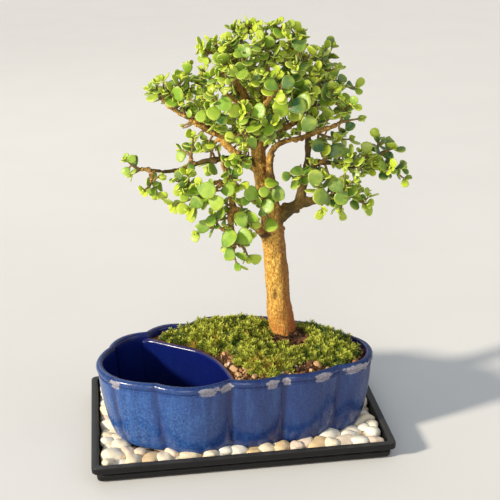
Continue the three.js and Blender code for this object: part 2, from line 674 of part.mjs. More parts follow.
// Rings of four corners up a soft stem, one for each place where a pair of leaves starts or ends.
function stemRings(stem, out, turn) {
  const rings = [];
  let normal = STEM.startNormal;
  for (let i = 0; i <= LEAF.pairs + 1; i += 1) {
    const t = i === 0 ? 0 : THREE.MathUtils.lerp(STEM.bare, 1, (i - 1) / LEAF.pairs);
    const centre = stem.getPoint(t);
    const tangent = i === 0 ? out : stem.getTangent(t);
    normal = normal.clone().addScaledVector(tangent, -normal.dot(tangent)).normalize();
    const start = normal.clone().applyAxisAngle(tangent, turn);
    const side = new THREE.Vector3().crossVectors(tangent, start);
    const radius = THREE.MathUtils.lerp(STEM.base, STEM.tip, t);
    rings.push({ centre, tangent, corners: cornersAround(centre, start, side, radius, radius) });
  }
  return rings;
}

// Opposite leaves on two sides of each stem section above the first, a quarter turn on each time.
function leavesOn(rings, length, seed) {
  const leaves = [];
  for (let pair = 0; pair < LEAF.pairs; pair += 1) {
    const { centre, tangent, corners } = rings[pair + 1];
    const above = rings[pair + 2].centre;
    const middle = centre.clone().lerp(above, 0.5);
    [pair % 2, (pair % 2) + 2].forEach((side) => {
      const outward = corners[side].clone().add(corners[(side + 1) % 4]).multiplyScalar(0.5).sub(centre);
      const rise = LEAF.rise * (0.8 + (0.8 * pair) / LEAF.pairs);
      const direction = outward.clone().normalize().addScaledVector(tangent, rise).normalize();
      const face = tangent.clone().addScaledVector(LIGHT, LEAF.turnToLight);
      const size = length * (0.82 + 0.3 * scatter(seed * 3.7 + pair * 5 + side));
      leaves.push({ pair, side, ...leafShape(middle.clone().add(outward), direction, face, size) });
    });
  }
  return leaves;
}

// A spray of soft stems with leaves. Stems and leaves share their edges, so it is one skin.
function sprayGeometry(stems) {
  const points = [];
  const indices = [];
  const addPoints = (list) => list.map((p) => points.push(p) - 1);
  const addQuad = (a, b, c, d) => indices.push(a, b, c, a, c, d);

  // Joins four corners to four others, turned so that the skin between them twists least.
  const bridge = (from, to) => {
    const middle = (list) => list.reduce((sum, i) => sum.add(points[i]), new THREE.Vector3()).divideScalar(4);
    const spokes = (list) => list.map((i) => points[i].clone().sub(middle(list)).normalize());
    const [fromSpokes, toSpokes] = [spokes(from), spokes(to)];
    const match = (shift) => (
      toSpokes.reduce((sum, spoke, i) => sum + spoke.dot(fromSpokes[(i + shift) % 4]), 0)
    );
    const shift = [0, 1, 2, 3].reduce((best, k) => (match(k) > match(best) ? k : best));
    for (let i = 0; i < 4; i += 1) {
      const next = (i + 1) % 4;
      addQuad(from[(i + shift) % 4], from[(next + shift) % 4], to[next], to[i]);
    }
  };

  const growLeaf = (patch, leaf) => {
    const section = addPoints(leaf.section);
    const [tip] = addPoints([leaf.tip]);
    bridge(patch, section);
    section.forEach((corner, i) => indices.push(corner, section[(i + 1) % 4], tip));
  };

  const growStem = ({ rings, leaves }, firstRing, forks) => {
    let below = firstRing;
    for (let r = 1; r < rings.length; r += 1) {
      const ring = addPoints(rings[r].corners);
      for (let side = 0; side < 4; side += 1) {
        const next = (side + 1) % 4;
        const patch = [below[side], below[next], ring[next], ring[side]];
        const leaf = leaves.find((one) => one.pair === r - 2 && one.side === side);
        const fork = r === 1 && forks.find((one) => one.side === side);
        if (leaf) growLeaf(patch, leaf);
        else if (fork) growFork(patch, fork);
        else addQuad(...patch);
      }
      below = ring;
    }
    addQuad(...below);
  };

  const growFork = (patch, fork) => {
    const first = addPoints(fork.rings[1].corners);
    bridge(patch, first);
    const leaves = fork.leaves.map((leaf) => ({ ...leaf, pair: leaf.pair - 1 }));
    growStem({ rings: fork.rings.slice(1), leaves }, first, []);
  };

  const [main, ...others] = stems;
  const start = addPoints(main.rings[0].corners);
  addQuad(...start.slice().reverse());
  growStem(main, start, others);
  const geometry = new THREE.BufferGeometry().setFromPoints(points);
  geometry.setIndex(indices);
  geometry.computeVertexNormals();
  return geometry;
}

// Grows a spray with every leaf that has room, and notes which side each fork leaves from.
function growSpray({ stems, out }, spray, index, neighbours) {
  const placed = [];
  const clear = (solid) => neighbours.every((other) => other.minGap(solid, GAP) >= 0.8 * GAP);
  const grown = stems.map((stem, fork) => {
    const seed = index * 7 + fork * 3 + 1;
    const rings = stemRings(stem, out, seed * 2.4);
    const leaves = leavesOn(rings, spray.leaf, seed).filter((leaf) => {
      const solid = leafSolid(leaf);
      const free = clear(solid) && placed.every((other) => other.minGap(solid, GAP) > 0.1);
      if (free) placed.push(solid);
      return free;
    });
    return { rings, leaves };
  });
  const [main, ...others] = grown;
  const { centre, corners } = main.rings[0];
  const outward = (side) => corners[side].clone().add(corners[(side + 1) % 4]).addScaledVector(centre, -2);
  others.forEach((fork) => {
    const heading = fork.rings[1].centre.clone().sub(centre);
    const along = (side) => outward(side).dot(heading);
    fork.side = [0, 1, 2, 3].reduce((best, side) => (along(side) > along(best) ? side : best));
  });
  return sprayGeometry(grown);
}

// Assembly.
addPiece('humidity_tray', trayGeometry(), MATERIALS.tray);
addPiece('pebble_bed', toGeometry(toSolid(bedGeometry()).subtract(whitePebble(GAP))), MATERIALS.pebble);
addPiece('white_pebble', toGeometry(whitePebble()), MATERIALS.pebble);
addPiece('land_water_pot', toGeometry(potSolid()), MATERIALS.glaze);
DRAIN.centres.forEach((place, i) => {
  addPiece(['drain_screen_left', 'drain_screen_right'][i], toGeometry(drainScreen(place)), MATERIALS.screen);
});

const planting = plantingSide(DIVIDER.thickness / 2 + GAP);
const wood = woodSolid();
const woodRoom = trunkSpace();
const screenRoom = DRAIN.centres.map(([x, y]) => {
  const room = new THREE.BoxGeometry(DRAIN.screen + 2 * GAP, DRAIN.screen + 2 * GAP, 4);
  room.translate(x, y, POT.floorZ + GAP + DRAIN.thickness - 2 + GAP);
  return toSolid(room);
});
const soil = screenRoom.reduce(
  (rest, room) => rest.subtract(room),
  soilMound().intersect(planting).subtract(woodRoom),
);
addPiece('potting_soil', toGeometry(soil, 0.1), MATERIALS.soil);

const mossFloor = soilMound().translate(0, 0, GAP);
Object.entries(MOSS).forEach(([name, { outline, height }]) => {
  const cushion = mossCushion(outline, height, mossFloor).subtract(woodRoom);
  addPiece(name, toGeometry(cushion), MATERIALS.moss);
});

addPiece('trunk_and_branches', toGeometry(wood, 0.35), MATERIALS.bark);

const crown = [wood];
SPRAYS.forEach((spray, i) => {
  const geometry = growSpray(SPRAY_LINES[i], spray, i, crown);
  crown.push(toSolid(geometry));
  addPiece(`leaves_${spray.name}`, geometry, MATERIALS.leaf);
});

export default object;
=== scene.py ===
import math

import bmesh
import bpy
import numpy as np
from mathutils import Matrix, Vector
from mathutils.geometry import tessellate_polygon


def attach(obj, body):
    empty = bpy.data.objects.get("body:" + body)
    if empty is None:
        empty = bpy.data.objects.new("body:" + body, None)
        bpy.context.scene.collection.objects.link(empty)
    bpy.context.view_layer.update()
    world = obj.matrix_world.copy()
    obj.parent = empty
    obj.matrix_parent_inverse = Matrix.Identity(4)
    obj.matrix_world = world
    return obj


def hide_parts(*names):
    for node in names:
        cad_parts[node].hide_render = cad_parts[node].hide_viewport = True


bl_info = {
    "name": "Jade bonsai",
    "version": (1, 0, 0),
    "blender": (4, 5, 0),
    "location": "View3D > Sidebar > Bonsai",
    "description": "Builds a jade bonsai in a lobed glazed pot on a humidity tray",
    "category": "Add Mesh",
}

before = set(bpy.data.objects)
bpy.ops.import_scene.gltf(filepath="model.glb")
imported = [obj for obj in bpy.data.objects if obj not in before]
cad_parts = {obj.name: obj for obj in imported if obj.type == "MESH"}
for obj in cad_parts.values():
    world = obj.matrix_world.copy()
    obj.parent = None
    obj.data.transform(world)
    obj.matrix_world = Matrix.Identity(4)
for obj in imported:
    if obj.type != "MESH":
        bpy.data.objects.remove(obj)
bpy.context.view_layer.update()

MM = 0.001
BODY = "root"

# Pot, in millimetres: middle of its outline, half its length and width, and its levels.
POT_MIDDLE = np.array([0.0, -12.0])
POT_HALF = np.array([130.0, 78.0])
POT_BASE = 15.0
POT_FLOOR = 24.0
POT_RIM = 87.0
POT_WALL = 6.5
DRAIN_HOLES = ((22.0, -14.0), (80.0, -26.0))
DRAIN_RADIUS = 7.0

# Cusps of the rim, anticlockwise from the left front, and how far the lobe after each bulges.
RIM_CUSPS = (
    (-117, -55, 3), (-80, -75, 12), (-12, -79, 6), (39, -77, 6), (92, -66, 4), (124, -52, 13.5),
    (107, 7, 8), (58, 49, 7), (10, 66, 11), (-39, 57, 9), (-82, 45, 9), (-119, 16, 12.5),
)
# Height over the foot, and inset at the ends and along the sides, up the outside of the wall.
WALL_SECTION = (
    (0, 15, 9.5), (2, 12.5, 8), (8, 9.8, 6.4), (18, 7, 4.7), (32, 4.4, 3), (48, 2.2, 1.6), (66, 0.8, 0.8),
)
# Inset and height over the lip, from the groove under it to the inside.
LIP_SECTION = (
    (1.3, 76.6), (1.75, 77.8), (1.8, 78.8), (1.3, 79.7), (0.5, 80.5), (-0.1, 81.5), (-0.45, 82.7),
    (-0.45, 84.0), (0.0, 85.2), (0.8, 86.2), (1.9, 86.8), (3.1, 87.0), (4.3, 86.8), (5.4, 86.1),
    (6.2, 85.0), (6.8, 83.4),
)
WALL_CREASE = 1.5
# Pale patches painted under the lip along the front as reflections in the glaze: place along the pot and half
# a width.
LIP_REFLECTIONS = ((-114, 4), (-32, 9.5), (-14, 5), (26, 6.5), (41, 3.5), (75.5, 8), (108.5, 11))
DIVIDER_LINE = ((-85, 44), (-64, 27), (-48, 15), (-31, 1), (-17, -23), (-9, -51), (-4, -80))
DIVIDER_TOP = 81.5
DIVIDER_THICKNESS = 5.6
DIVIDER_RUN = 165.0
# Inset and height over the foot's base and how bare of glaze it is, under the pot from the middle out.
FOOT_RINGS = ((6.5, 1.6, 1), (5.2, 0.3, 1), (4.2, 0, 1), (1.2, 0, 1), (0.2, 0.35, 0.9))
# Inset at the ends and along the sides, and height, where the inner wall rounds into the floor.
FLOOR_RINGS = ((18.2, 14.3, 28.2), (20.0, 15.4, 26.0), (22.5, 16.8, 24.7), (26.0, 19.0, 24.05))
# Levels of the floor and of the underside, and how many sides a drain hole has.
FLOOR_TOP = 24.05
UNDERSIDE = POT_BASE + 1.6
DRAIN_SIDES = 28

SOIL_EDGE = 80.0
SOIL_CROWN = 90.0
SOIL_MIDDLE = np.array([52.0, 9.0])
# The way from the soil's crown (0) to the rim (1), and the share of its rise that is left there.
SOIL_RISE = ((0, 1.0), (0.28, 0.95), (0.55, 0.75), (0.8, 0.45), (1.0, 0.0), (2.0, -0.1))

TRAY_HALF = np.array([140.0, 95.0])
TRAY_CORNER = 6.0
# How far the lip waves up or down.
TRAY_BOW = 0.12
# Inset and height, from the middle of the underside, over the lip and down to the tray's floor.
TRAY_SECTION = (
    (40, 0.8), (14, 0.8), (11.5, 0.7), (10, 0.1), (9, 0), (8.2, 0.2), (6.1, 1.2), (5.1, 2.0),
    (4.6, 2.8), (4.1, 6.6), (4.3, 7.1), (5.0, 7.4), (6.6, 7.7), (6.9, 8.2), (6.9, 10.2), (6.5, 10.7),
    (0.9, 11.3), (0.3, 11.6), (0, 12.2), (0, 16.8), (0.2, 17.5), (0.7, 17.9), (1.3, 18), (5.2, 18),
    (5.8, 17.85), (6.3, 17.4), (6.6, 16.6), (9.1, 3.6), (9.6, 2.8), (10.6, 2.4), (14, 2.4), (40, 2.4),
)

# Stones round the pot, stones under it, and how many are modelled finest.
STONES_ROUND = 196
STONES_UNDER = 84
STONES_FINE = 26
# Half-lengths of the stones under the pot, the levels that all keep between, and their flatness.
UNDER_SIZES = (5.2, 7.2)
BED_FLOOR = 2.4
STONE_TOP = 19.0
STONE_FLATNESS = 0.74
# Half the room inside the tray, and how many steps the stones take to settle.
BED_HALF = (130.8, 85.8)
SETTLING_STEPS = 220

# Trunk, main stems and branches: points along the middle, each with its radius.
BRANCHES = {
    "trunk": (
        (53, 12, 46, 14), (53, 12, 66, 15), (52, 11, 84, 13.6), (50, 10, 100, 12.4), (47, 8, 124, 11.7),
        (45, 6, 154, 11.3), (43, 4, 184, 11), (41, 3, 208, 10.4), (38, 4, 228, 8.8)),
    "leader": (
        (40, 3, 216, 9), (35, 5, 240, 7.8), (32, 6, 259, 7), (30, 6, 278, 6.6), (28, 4, 296, 6.2),
        (23, 2, 313, 5.4), (17, 0, 330, 4.5), (11, -2, 346, 3.6), (10, 0, 360, 2.8)),
    "mid_leader": (
        (28, 4, 296, 5), (35, 10, 311, 4.5), (39, 13, 328, 4), (40, 12, 346, 3.4), (41, 10, 362, 2.6)),
    "right_leader": (
        (29, 6, 283, 5), (43, 14, 302, 4.5), (54, 17, 318, 4.1), (62, 16, 334, 3.4), (67, 12, 350, 2.6)),
    "second_stem": (
        (45, -1, 216, 4.4), (41.5, -5, 240, 4.0), (39, -6, 262, 3.5), (40, -8, 276, 3.0),
        (46, -9, 284, 2.4), (57, -9, 288, 2.3), (70, -11, 291, 2.2), (92, -16, 299, 1.7)),
    "right_low": (
        (43, 1, 207, 6.2), (50, -1, 214, 5.8), (57, -4, 221, 5.5), (66, -8, 227, 4.8), (78, -14, 231, 3.5),
        (91, -19, 234, 3.2), (104, -24, 239, 2.6)),
    "right_long": (
        (65, -8, 226, 6.2), (68, -8, 240, 5), (74, -4, 254, 3.4), (84, 0, 262, 2.8), (98, 2, 261, 2.6),
        (111, 2, 257, 2.4), (123, 0, 257, 2.2), (134, -3, 256, 1.9)),
    "right_riser": (
        (66, -6, 230, 3.4), (73, 8, 249, 3.2), (78, 16, 266, 3.2), (79, 20, 282, 3.2),
        (83, 23, 298, 2.8), (86, 24, 315, 2.4), (89, 21, 330, 2.1)),
    "left_low": (
        (36, -1, 190, 4.0), (25, -10, 207, 3.9), (13, -18, 218, 3.9), (4, -20, 229, 3.8),
        (1.5, -20, 242, 3.4), (-1, -18, 254, 2.6), (-3, -14, 266, 2.1)),
    "left_drop": ((3, -20, 230, 3.8), (0, -25, 223, 3.5), (0, -31, 214, 3), (2, -36, 205, 2.3)),
    "left_mid": (
        (31, 6, 262, 3.4), (18, -2, 270, 3.3), (4, -8, 274, 3.1), (-10, -12, 275, 2.9), (-23, -14, 274, 2.7),
        (-35, -16, 271, 2.5), (-46, -18, 269, 2.2), (-58, -20, 269, 1.9), (-70, -22, 272, 1.6)),
    "left_upper": (
        (30, 5, 279, 4.6), (16, -2, 288, 4.1), (2, -8, 294, 3.8), (-11, -12, 300, 3.5),
        (-22, -16, 307, 3.2), (-32, -18, 315, 2.8), (-42, -21, 322, 2.4), (-50, -23, 328, 2.0)),
    "back_leader": ((30, 6, 272, 5), (32, 22, 286, 4.4), (36, 38, 302, 3.8), (41, 54, 314, 3)),
    "back_left": ((32, 8, 254, 3.6), (18, 18, 264, 4.2), (4, 32, 276, 3.6), (-8, 42, 292, 3)),
    "back_right": ((31, 7, 272, 3.2), (45, 20, 283, 3.1), (62, 33, 290, 3.0), (80, 43, 294, 2.7)),
}

# Leafy sprays: the branch each grows on, the length of its leaves and the tips of its stems.
SPRAYS = {
    "left_tip": ("left_mid", 12, (-90, -30, 284), (-86, -22, 269)),
    "left_tip_low": ("left_mid", 12, (-65, -28, 252), (-76, -36, 258)),
    "left_hanging": ("left_low", 13, (-50, -34, 242), (-38, -32, 257)),
    "left_rosette": ("left_mid", 12, (-31, -26, 300), (-40, -8, 284)),
    "left_arm": ("left_low", 16, (-27, -42, 259), (-37, -46, 241)),
    "left_curl": ("left_drop", 12, (-31, -47, 220), (-18, -46, 234)),
    "left_drop_tip": ("left_drop", 14, (2, -46, 186), (-8, -52, 208)),
    "left_drop_side": ("left_drop", 14, (15, -42, 208), (13, -36, 190)),
    "left_low_inner": ("left_low", 12, (20, -38, 226), (9, -36, 240)),
    "inner_left": ("left_mid", 13, (7, -34, 256), (-4, -34, 259)),
    "inner_left_up": ("left_mid", 12, (-3, -42, 284), (14, -38, 280)),
    "upper_left_tip": ("left_upper", 12, (-66, -32, 346), (-54, -18, 350)),
    "upper_left_a": ("left_upper", 13, (-39, -26, 351), (-48, -38, 342)),
    "upper_left_low": ("left_upper", 11, (-38, -38, 322), (-24, -46, 325)),
    "upper_left_b": ("left_upper", 12, (-31, 4, 357), (-20, -18, 352)),
    "upper_left_c": ("left_upper", 14, (-8, -54, 334), (-13, -48, 314)),
    "top_left_a": ("leader", 12, (-18, -4, 374), (-8, 16, 374)),
    "top_left_b": ("leader", 12, (4, -20, 380), (-4, -36, 364)),
    "top_left_c": ("leader", 12, (16, -36, 374), (10, -52, 358)),
    "top_a": ("leader", 12, (24, 2, 390), (10, 2, 388)),
    "top_b": ("mid_leader", 12, (49, 2, 390), (37, 22, 382)),
    "top_front": ("mid_leader", 12, (33, -16, 380), (44, -26, 366)),
    "mid_front_a": ("mid_leader", 14, (28, -46, 352), (42, -52, 343)),
    "mid_front_b": ("leader", 13, (10, -60, 328), (16, -56, 311)),
    "mid_front_c": ("leader", 13, (23, -46, 296), (35, -56, 316)),
    "top_right_a": ("right_leader", 13, (71, 6, 381), (59, -6, 378)),
    "top_right_b": ("right_leader", 14, (76, -12, 366), (61, -34, 362)),
    "mid_right_a": ("right_leader", 15, (52, -58, 330), (66, -46, 338)),
    "mid_right_b": ("right_leader", 12, (52, -36, 350), (56, -14, 362)),
    "upper_right_a": ("right_riser", 13, (102, 22, 364), (88, 2, 360)),
    "upper_right_b": ("right_riser", 13, (83, -18, 343), (94, -26, 328)),
    "upper_right_c": ("right_riser", 12, (122, 14, 328), (110, 30, 342)),
    "right_shoulder": ("second_stem", 15, (66, -53, 311), (87, -42, 314)),
    "right_shoulder_tip": ("second_stem", 12, (105, -30, 322), (116, -28, 309)),
    "right_mid_a": ("right_long", 13, (96, -26, 289), (80, -36, 286)),
    "right_mid_b": ("right_long", 13, (109, -32, 276), (127, -14, 271)),
    "right_tip_up": ("right_long", 13, (150, -18, 277), (142, 6, 280)),
    "right_tip": ("right_long", 13, (161, -8, 255), (145, -30, 262)),
    "right_inner": ("right_riser", 12, (53, -36, 264), (64, -28, 270)),
    "right_low_a": ("right_low", 15, (74, -48, 260), (80, -50, 244)),
    "right_low_b": ("right_low", 13, (99, -50, 250), (97, -46, 231)),
    "right_low_c": ("right_low", 13, (121, -40, 233), (122, -12, 236)),
    "trunk_front": ("leader", 12, (28, -30, 238), (42, -32, 252)),
    "back_left_low": ("back_left", 14, (-24, 44, 269), (-12, 56, 248)),
    "back_left_high": ("back_left", 13, (-26, 60, 314), (-14, 42, 336)),
    "back_top": ("back_leader", 13, (28, 60, 348), (58, 84, 322)),
    "back_middle": ("back_leader", 14, (16, 80, 290), (41, 66, 272)),
    "back_right_high": ("back_right", 13, (88, 66, 333), (116, 56, 303)),
    "back_right_low": ("back_right", 14, (92, 58, 258), (123, 44, 271)),
}

# Short leafy shoots straight from a branch: where they start and end along it, how many, and the length
# of their leaves.
INNER_SHOOTS = {
    "leader": (0.44, 1.0, 38, 12), "mid_leader": (0.12, 1.0, 20, 12), "right_leader": (0.1, 1.0, 22, 12),
    "second_stem": (0.5, 1.0, 10, 12), "right_low": (0.6, 1.0, 6, 12), "right_long": (0.35, 1.0, 13, 11),
    "right_riser": (0.25, 1.0, 14, 12), "left_low": (0.3, 1.0, 9, 12), "left_drop": (0.35, 1.0, 4, 12),
    "left_mid": (0.14, 0.4, 6, 12), "left_upper": (0.12, 0.95, 34, 12), "back_leader": (0.15, 1.0, 18, 13),
    "back_left": (0.3, 1.0, 16, 13), "back_right": (0.3, 1.0, 16, 13),
}

# Large leaves that face forward: the spray that bears each, its place across and down the camera's
# view of 500 by 500, its distance y and its length in millimetres.
LARGE_LEAVES = (
    ("left_drop_tip", 229.5, 238.5, -52, 18.5), ("left_drop_tip", 244, 237, -50, 17),
    ("left_drop_tip", 229.5, 254, -52, 14), ("left_drop_tip", 237.5, 267, -48, 9),
    ("left_drop_side", 241, 219, -46, 16), ("left_low_inner", 252.5, 217.5, -44, 13.5),
    ("left_arm", 207, 190, -50, 19), ("left_arm", 216, 202, -52, 17), ("left_arm", 228, 190, -46, 14),
    ("left_arm", 196, 203, -50, 13), ("left_curl", 203, 227, -50, 13), ("left_curl", 211, 221, -52, 12),
    ("trunk_front", 267.5, 206, -40, 15), ("trunk_front", 278, 193.5, -37, 16),
    ("trunk_front", 251, 193.5, -38, 15), ("trunk_front", 271, 225, -38, 15),
    ("trunk_front", 271, 183.5, -35, 13), ("trunk_front", 264, 192, -42, 11),
    ("trunk_front", 258, 200, -36, 11), ("trunk_front", 262, 213, -36, 8),
    ("trunk_front", 245, 201.5, -38, 10), ("mid_front_b", 253.5, 128.5, -62, 16),
    ("mid_front_b", 259, 111, -60, 15), ("mid_front_c", 252, 142, -50, 13),
    ("mid_front_c", 269, 130, -56, 12), ("upper_left_c", 224.5, 104, -58, 15),
    ("upper_left_c", 214, 113, -56, 14), ("upper_left_low", 201, 116, -48, 12),
    ("upper_left_a", 177, 94, -40, 15), ("mid_front_a", 271, 85, -54, 14),
    ("mid_front_a", 288, 82, -54, 13), ("top_left_c", 242, 75, -54, 13), ("top_left_c", 246, 52, -40, 12),
    ("mid_right_a", 297, 106, -60, 17), ("right_shoulder", 309, 123.5, -56, 16),
    ("right_mid_a", 317.5, 146, -38, 14), ("right_mid_a", 336, 151, -32, 14),
    ("right_low_a", 315.5, 178, -52, 17), ("right_low_a", 321, 197, -54, 17),
    ("right_low_b", 336, 185, -52, 16), ("right_low_b", 341.5, 198, -52, 15),
    ("right_inner", 297, 171, -38, 13), ("right_inner", 286.5, 176, -38, 11),
    ("top_right_a", 299, 45.5, -12, 15), ("left_tip", 131.5, 159, -34, 9), ("left_tip", 126, 171, -28, 9),
)

# Where side shoots of the front sprays end, across and down the camera's view of 500 by 500.
LEAF_CLUSTERS = (
    (237, 28), (245, 24), (252, 25), (261, 33), (272, 24), (282, 29), (298, 35), (203, 48), (215, 46),
    (228, 40), (243, 52), (205, 68), (198, 86), (222, 82), (233, 70), (262, 60), (273, 62), (295, 66),
    (262, 74), (213, 94), (204, 100), (326, 90), (342, 112), (233, 140), (243, 144), (270, 139), (186, 78),
    (190, 92), (318, 72), (225, 58), (252, 44), (288, 44), (352, 106), (338, 96), (160, 175), (176, 181),
    (188, 175), (345, 173), (354, 180), (362, 172), (183, 190), (218, 84), (226, 78), (213, 79), (279, 91),
    (257, 48), (208, 88), (238, 29), (243, 35), (234, 38), (226, 46), (207, 57), (250, 34), (229, 87),
)

# Sprays that carry more short shoots than the usual number on their twig.
USUAL_SHOOTS = 3
MORE_SHOOTS = {
    "upper_left_b": 7, "top_left_a": 8, "top_left_b": 8, "upper_left_low": 5, "top_front": 5,
    "upper_left_a": 5, "mid_right_b": 5, "top_right_b": 5, "top_left_c": 5, "upper_right_c": 5,
    "upper_left_c": 4, "left_rosette": 4, "right_shoulder_tip": 5, "upper_right_a": 5, "back_left_high": 7,
    "back_left_low": 6, "back_top": 6, "back_middle": 6, "back_right_high": 6, "back_right_low": 6,
}

# Wood that stands bare of leaves, as lines across the camera's view: start, end, half a width, and the
# distance y from which leaves grow behind it, where they do.
BARE_WOOD = (
    (160, 106, 200, 128, 6), (200, 128, 236, 152, 5), (146, 170, 222, 154, 5), (278, 145, 342, 125, 5),
    (257, 152, 259, 180, 8), (270, 150, 272, 174, 6), (299, 142, 299, 168, 8), (298, 218, 324, 196, 7),
    (266, 236, 269, 246, 6), (272, 234, 284, 330, 18), (163, 117, 178, 138, 8), (219, 159, 219, 182, 5),
    (283, 152, 287, 200, 9), (312, 150, 330, 168, 4), (246, 98, 237, 81, 4, 4),
    (266, 102, 281, 85, 3.5, 4),
)
# Knobby twigs that show among the front leaves: start, then bend and end across and down the view
# with their distance y, and radius.
FRONT_TWIGS = (
    ((26, 2, 303), (259, 110, -38), (281, 85, -50), 2.6),
    ((21, 1, 318), (233, 100, -30), (222, 91, -42), 2.2),
)
# Painted shade under the left fork: across and down the view, and its distance y.
FORK_SHADE = (266, 235.5, -8)
# Sprays with no side shoots.
SPARSE_SPRAYS = (
    "left_drop_tip", "left_drop_side", "left_curl", "trunk_front", "left_low_inner", "right_inner",
    "left_arm", "left_tip", "left_tip_low", "left_hanging", "inner_left",
)

# Knobs and healed cuts on the trunk and main stems: place and radius.
KNOBS = (
    (33, -2, 246, 3.4), (44, -7, 226, 4.0), (33.5, -3, 196, 4.6), (48, -6, 176, 2.4), (36, 6, 150, 2.2),
    (30, -3, 268, 3.0), (56, 4, 110, 3.2), (42, 2, 128, 2.6), (51, 13, 196, 3.4), (36, -3, 288, 3.2),
)

# Moss cushions: thickness over the soil and outline seen from above.
MOSS_PADS = {
    "moss_left": (7.0, (
        (-68, 36), (-50, 19), (-34, 5), (-22, -9), (-6, -11), (6, -15), (22, -16), (34, -8), (35, 12),
        (38, 32), (30, 49), (10, 54), (-14, 58), (-36, 46), (-54, 44))),
    "moss_front": (5.5, (
        (0, -19), (3, -36), (7, -52), (16, -65), (32, -69), (46, -62), (54, -50), (48, -38), (42, -24),
        (34, -18), (16, -19))),
    "moss_right": (6.0, (
        (48, -22), (52, -34), (58, -47), (74, -51), (92, -55), (108, -47), (114, -30), (106, -8), (92, 12),
        (76, 27), (70, 25), (72, 12), (66, -4), (56, -12))),
}
# Branches painted dark olive as shade, those that keep the full radius they list, and the share the rest
# keep.
SHADED_BRANCHES = ("right_low", "right_long", "right_riser", "left_mid")
FULL_BRANCHES = ("trunk", "leader", "second_stem", "right_low")
SLIMMER = 0.87

# Stones lying on the soil: place, half-length and kind.
STONES_ON_SOIL = (
    (-4, -47, 3.6, 0.86), (36, -47, 1.9, 0.99), (-1, -34, 2.2, 0.7), (66, -64, 2.2, 0.8),
    (82, -60, 2.0, 0.75), (13, -67, 2.4, 0.85), (46, -68, 2.0, 0.8), (0, -60, 2.2, 0.72),
    (2, -52, 1.9, 0.6), (-10, -36, 1.9, 0.8),
)
# Scraps of bark and root round the trunk's foot, where that is, and its radius there.
LITTER = 110
TRUNK_FOOT = np.array([52.2, 11.0])
TRUNK_GIRTH = 12.4
# Bare places among the moss: place and radius.
BARE_SPOTS = (
    (59, 6, 15), (47, -13, 8), (57, -14, 15), (68, -10, 11), (46, -36, 6), (72, -60, 11), (2, -49, 8),
    (-16, -30, 6),
)
# Where the moss lies low before the trunk: place and radius.
LOW_MOSS = ((57, -14, 0), (40, -8, -6))
# Where tall bright sprigs stand: place and radius.
SPRIG_SPOTS = ((50, -27, 8), (60, -38, 7), (79, -24, 7), (16, -30, 9), (-30, 24, 9), (100, -40, 8))

# Camera: its place in metres, its turn, tilt and roll in degrees, its lens in millimetres.
CAMERA_PLACE = (-0.099, -1.040, 0.569)
CAMERA_TURN = 6.5
CAMERA_DOWN = 20.3
CAMERA_ROLL = -1.6
LENS = 85.8
SENSOR = 36.0
VIEW_SIZE = 500
EYE = np.array(CAMERA_PLACE) / MM

# The low sun: the way its light heads and how many degrees wide it is.
SUN_HEADING = (1.5, 0.6, -0.74)
SUN_SPREAD = 6.0
SUN_TINT = (1.0, 0.90, 0.74)
# The soft light from the front: the same.
FRONT_HEADING = (0.35, 1.2, -0.3)
FRONT_SPREAD = 30.0
FRONT_TINT = (1.0, 0.94, 0.82)
# Square lights: name, place and goal in metres, size and tint.
SQUARE_LIGHTS = (
    ("soft_fill", (1.3, -1.2, 1.1), (0.0, 0.0, 0.15), 1.2, (0.82, 0.9, 1.0)),
    ("back_glow", (-0.6, 1.3, 1.2), (0.0, 0.0, 0.2), 1.0, (1.0, 0.95, 0.88)),
)
# Half the width of the floor, in metres.
FLOOR_HALF = 12.0

# The way shoots grow, the way leaves face, the side of the bark painted as sunlit, the way large leaves face,
# and the middle of the crown.
LIGHT = np.array([-0.42, -0.3, 0.84])
LEAF_UP = np.array([-0.3, -0.22, 0.93])
SUNNY_SIDE = np.array([-1.0, -0.3, 0.0])
FORWARD = np.array([-0.32, -0.85, 0.42])
CROWN_MIDDLE = np.array([35.0, 0.0, 285.0])

# Colours that vary the main ones in the settings.
SUNLIT_GLAZE = (0.02, 0.10, 0.40)
SHADED_GLAZE = (0, 0.001, 0.012)
SCREEN_DARK = (0.02, 0.04, 0.03)
SCREEN_PALE = (0.05, 0.09, 0.06)
TAN_GRIT = (0.72, 0.47, 0.24)
WHITE_GRIT = (0.85, 0.82, 0.75)
RUSTY_GRIT = (0.24, 0.10, 0.05)
SHADED_MOSS = (0.04, 0.075, 0.008)
RUSTY_MOSS = (0.42, 0.24, 0.03)
DARK_AND_SHADED_MOSS = (0.018, 0.075, 0.014)
SHADED_BARK = (0.25, 0.08, 0.022)
BARK_FLECK = (0.96, 0.66, 0.18)
BARK_PIT = (0.15, 0.06, 0.015)
SCAR_TAN = (0.74, 0.46, 0.20)
STEM_BAND = (0.22, 0.10, 0.035)
SKY_TINT = (0.84, 0.91, 1.0, 1.0)


# ---------------------------------------------------------------- numbers and noise

def unit(vectors):
    vectors = np.asarray(vectors, float)
    return vectors / np.maximum(np.linalg.norm(vectors, axis=-1, keepdims=True), 1e-12)


def cell_value(x, y, z, seed):
    """A number between -1 and 1 scrambled from a cell's corner."""
    last = 1274126177
    mixed = (x * 374761393 + y * 668265263 + z * 1440662683 + seed * last) & 0xFFFFFFFF
    mixed = ((mixed ^ (mixed >> 13)) * last) & 0xFFFFFFFF
    return ((mixed ^ (mixed >> 16)) & 0xFFFFFF) / 0xFFFFFF * 2 - 1


def lumps(points, size, seed):
    """Smooth noise between -1 and 1 with lumps of a size."""
    place = np.asarray(points, float) / size
    corner = np.floor(place).astype(np.int64)
    part = place - corner
    part = part * part * (3 - 2 * part)
    total = np.zeros(len(place))
    for step in np.ndindex(2, 2, 2):
        share = np.prod(np.where(step, part, 1 - part), axis=1)
        total += share * cell_value(*(corner + step).T, seed)
    return total


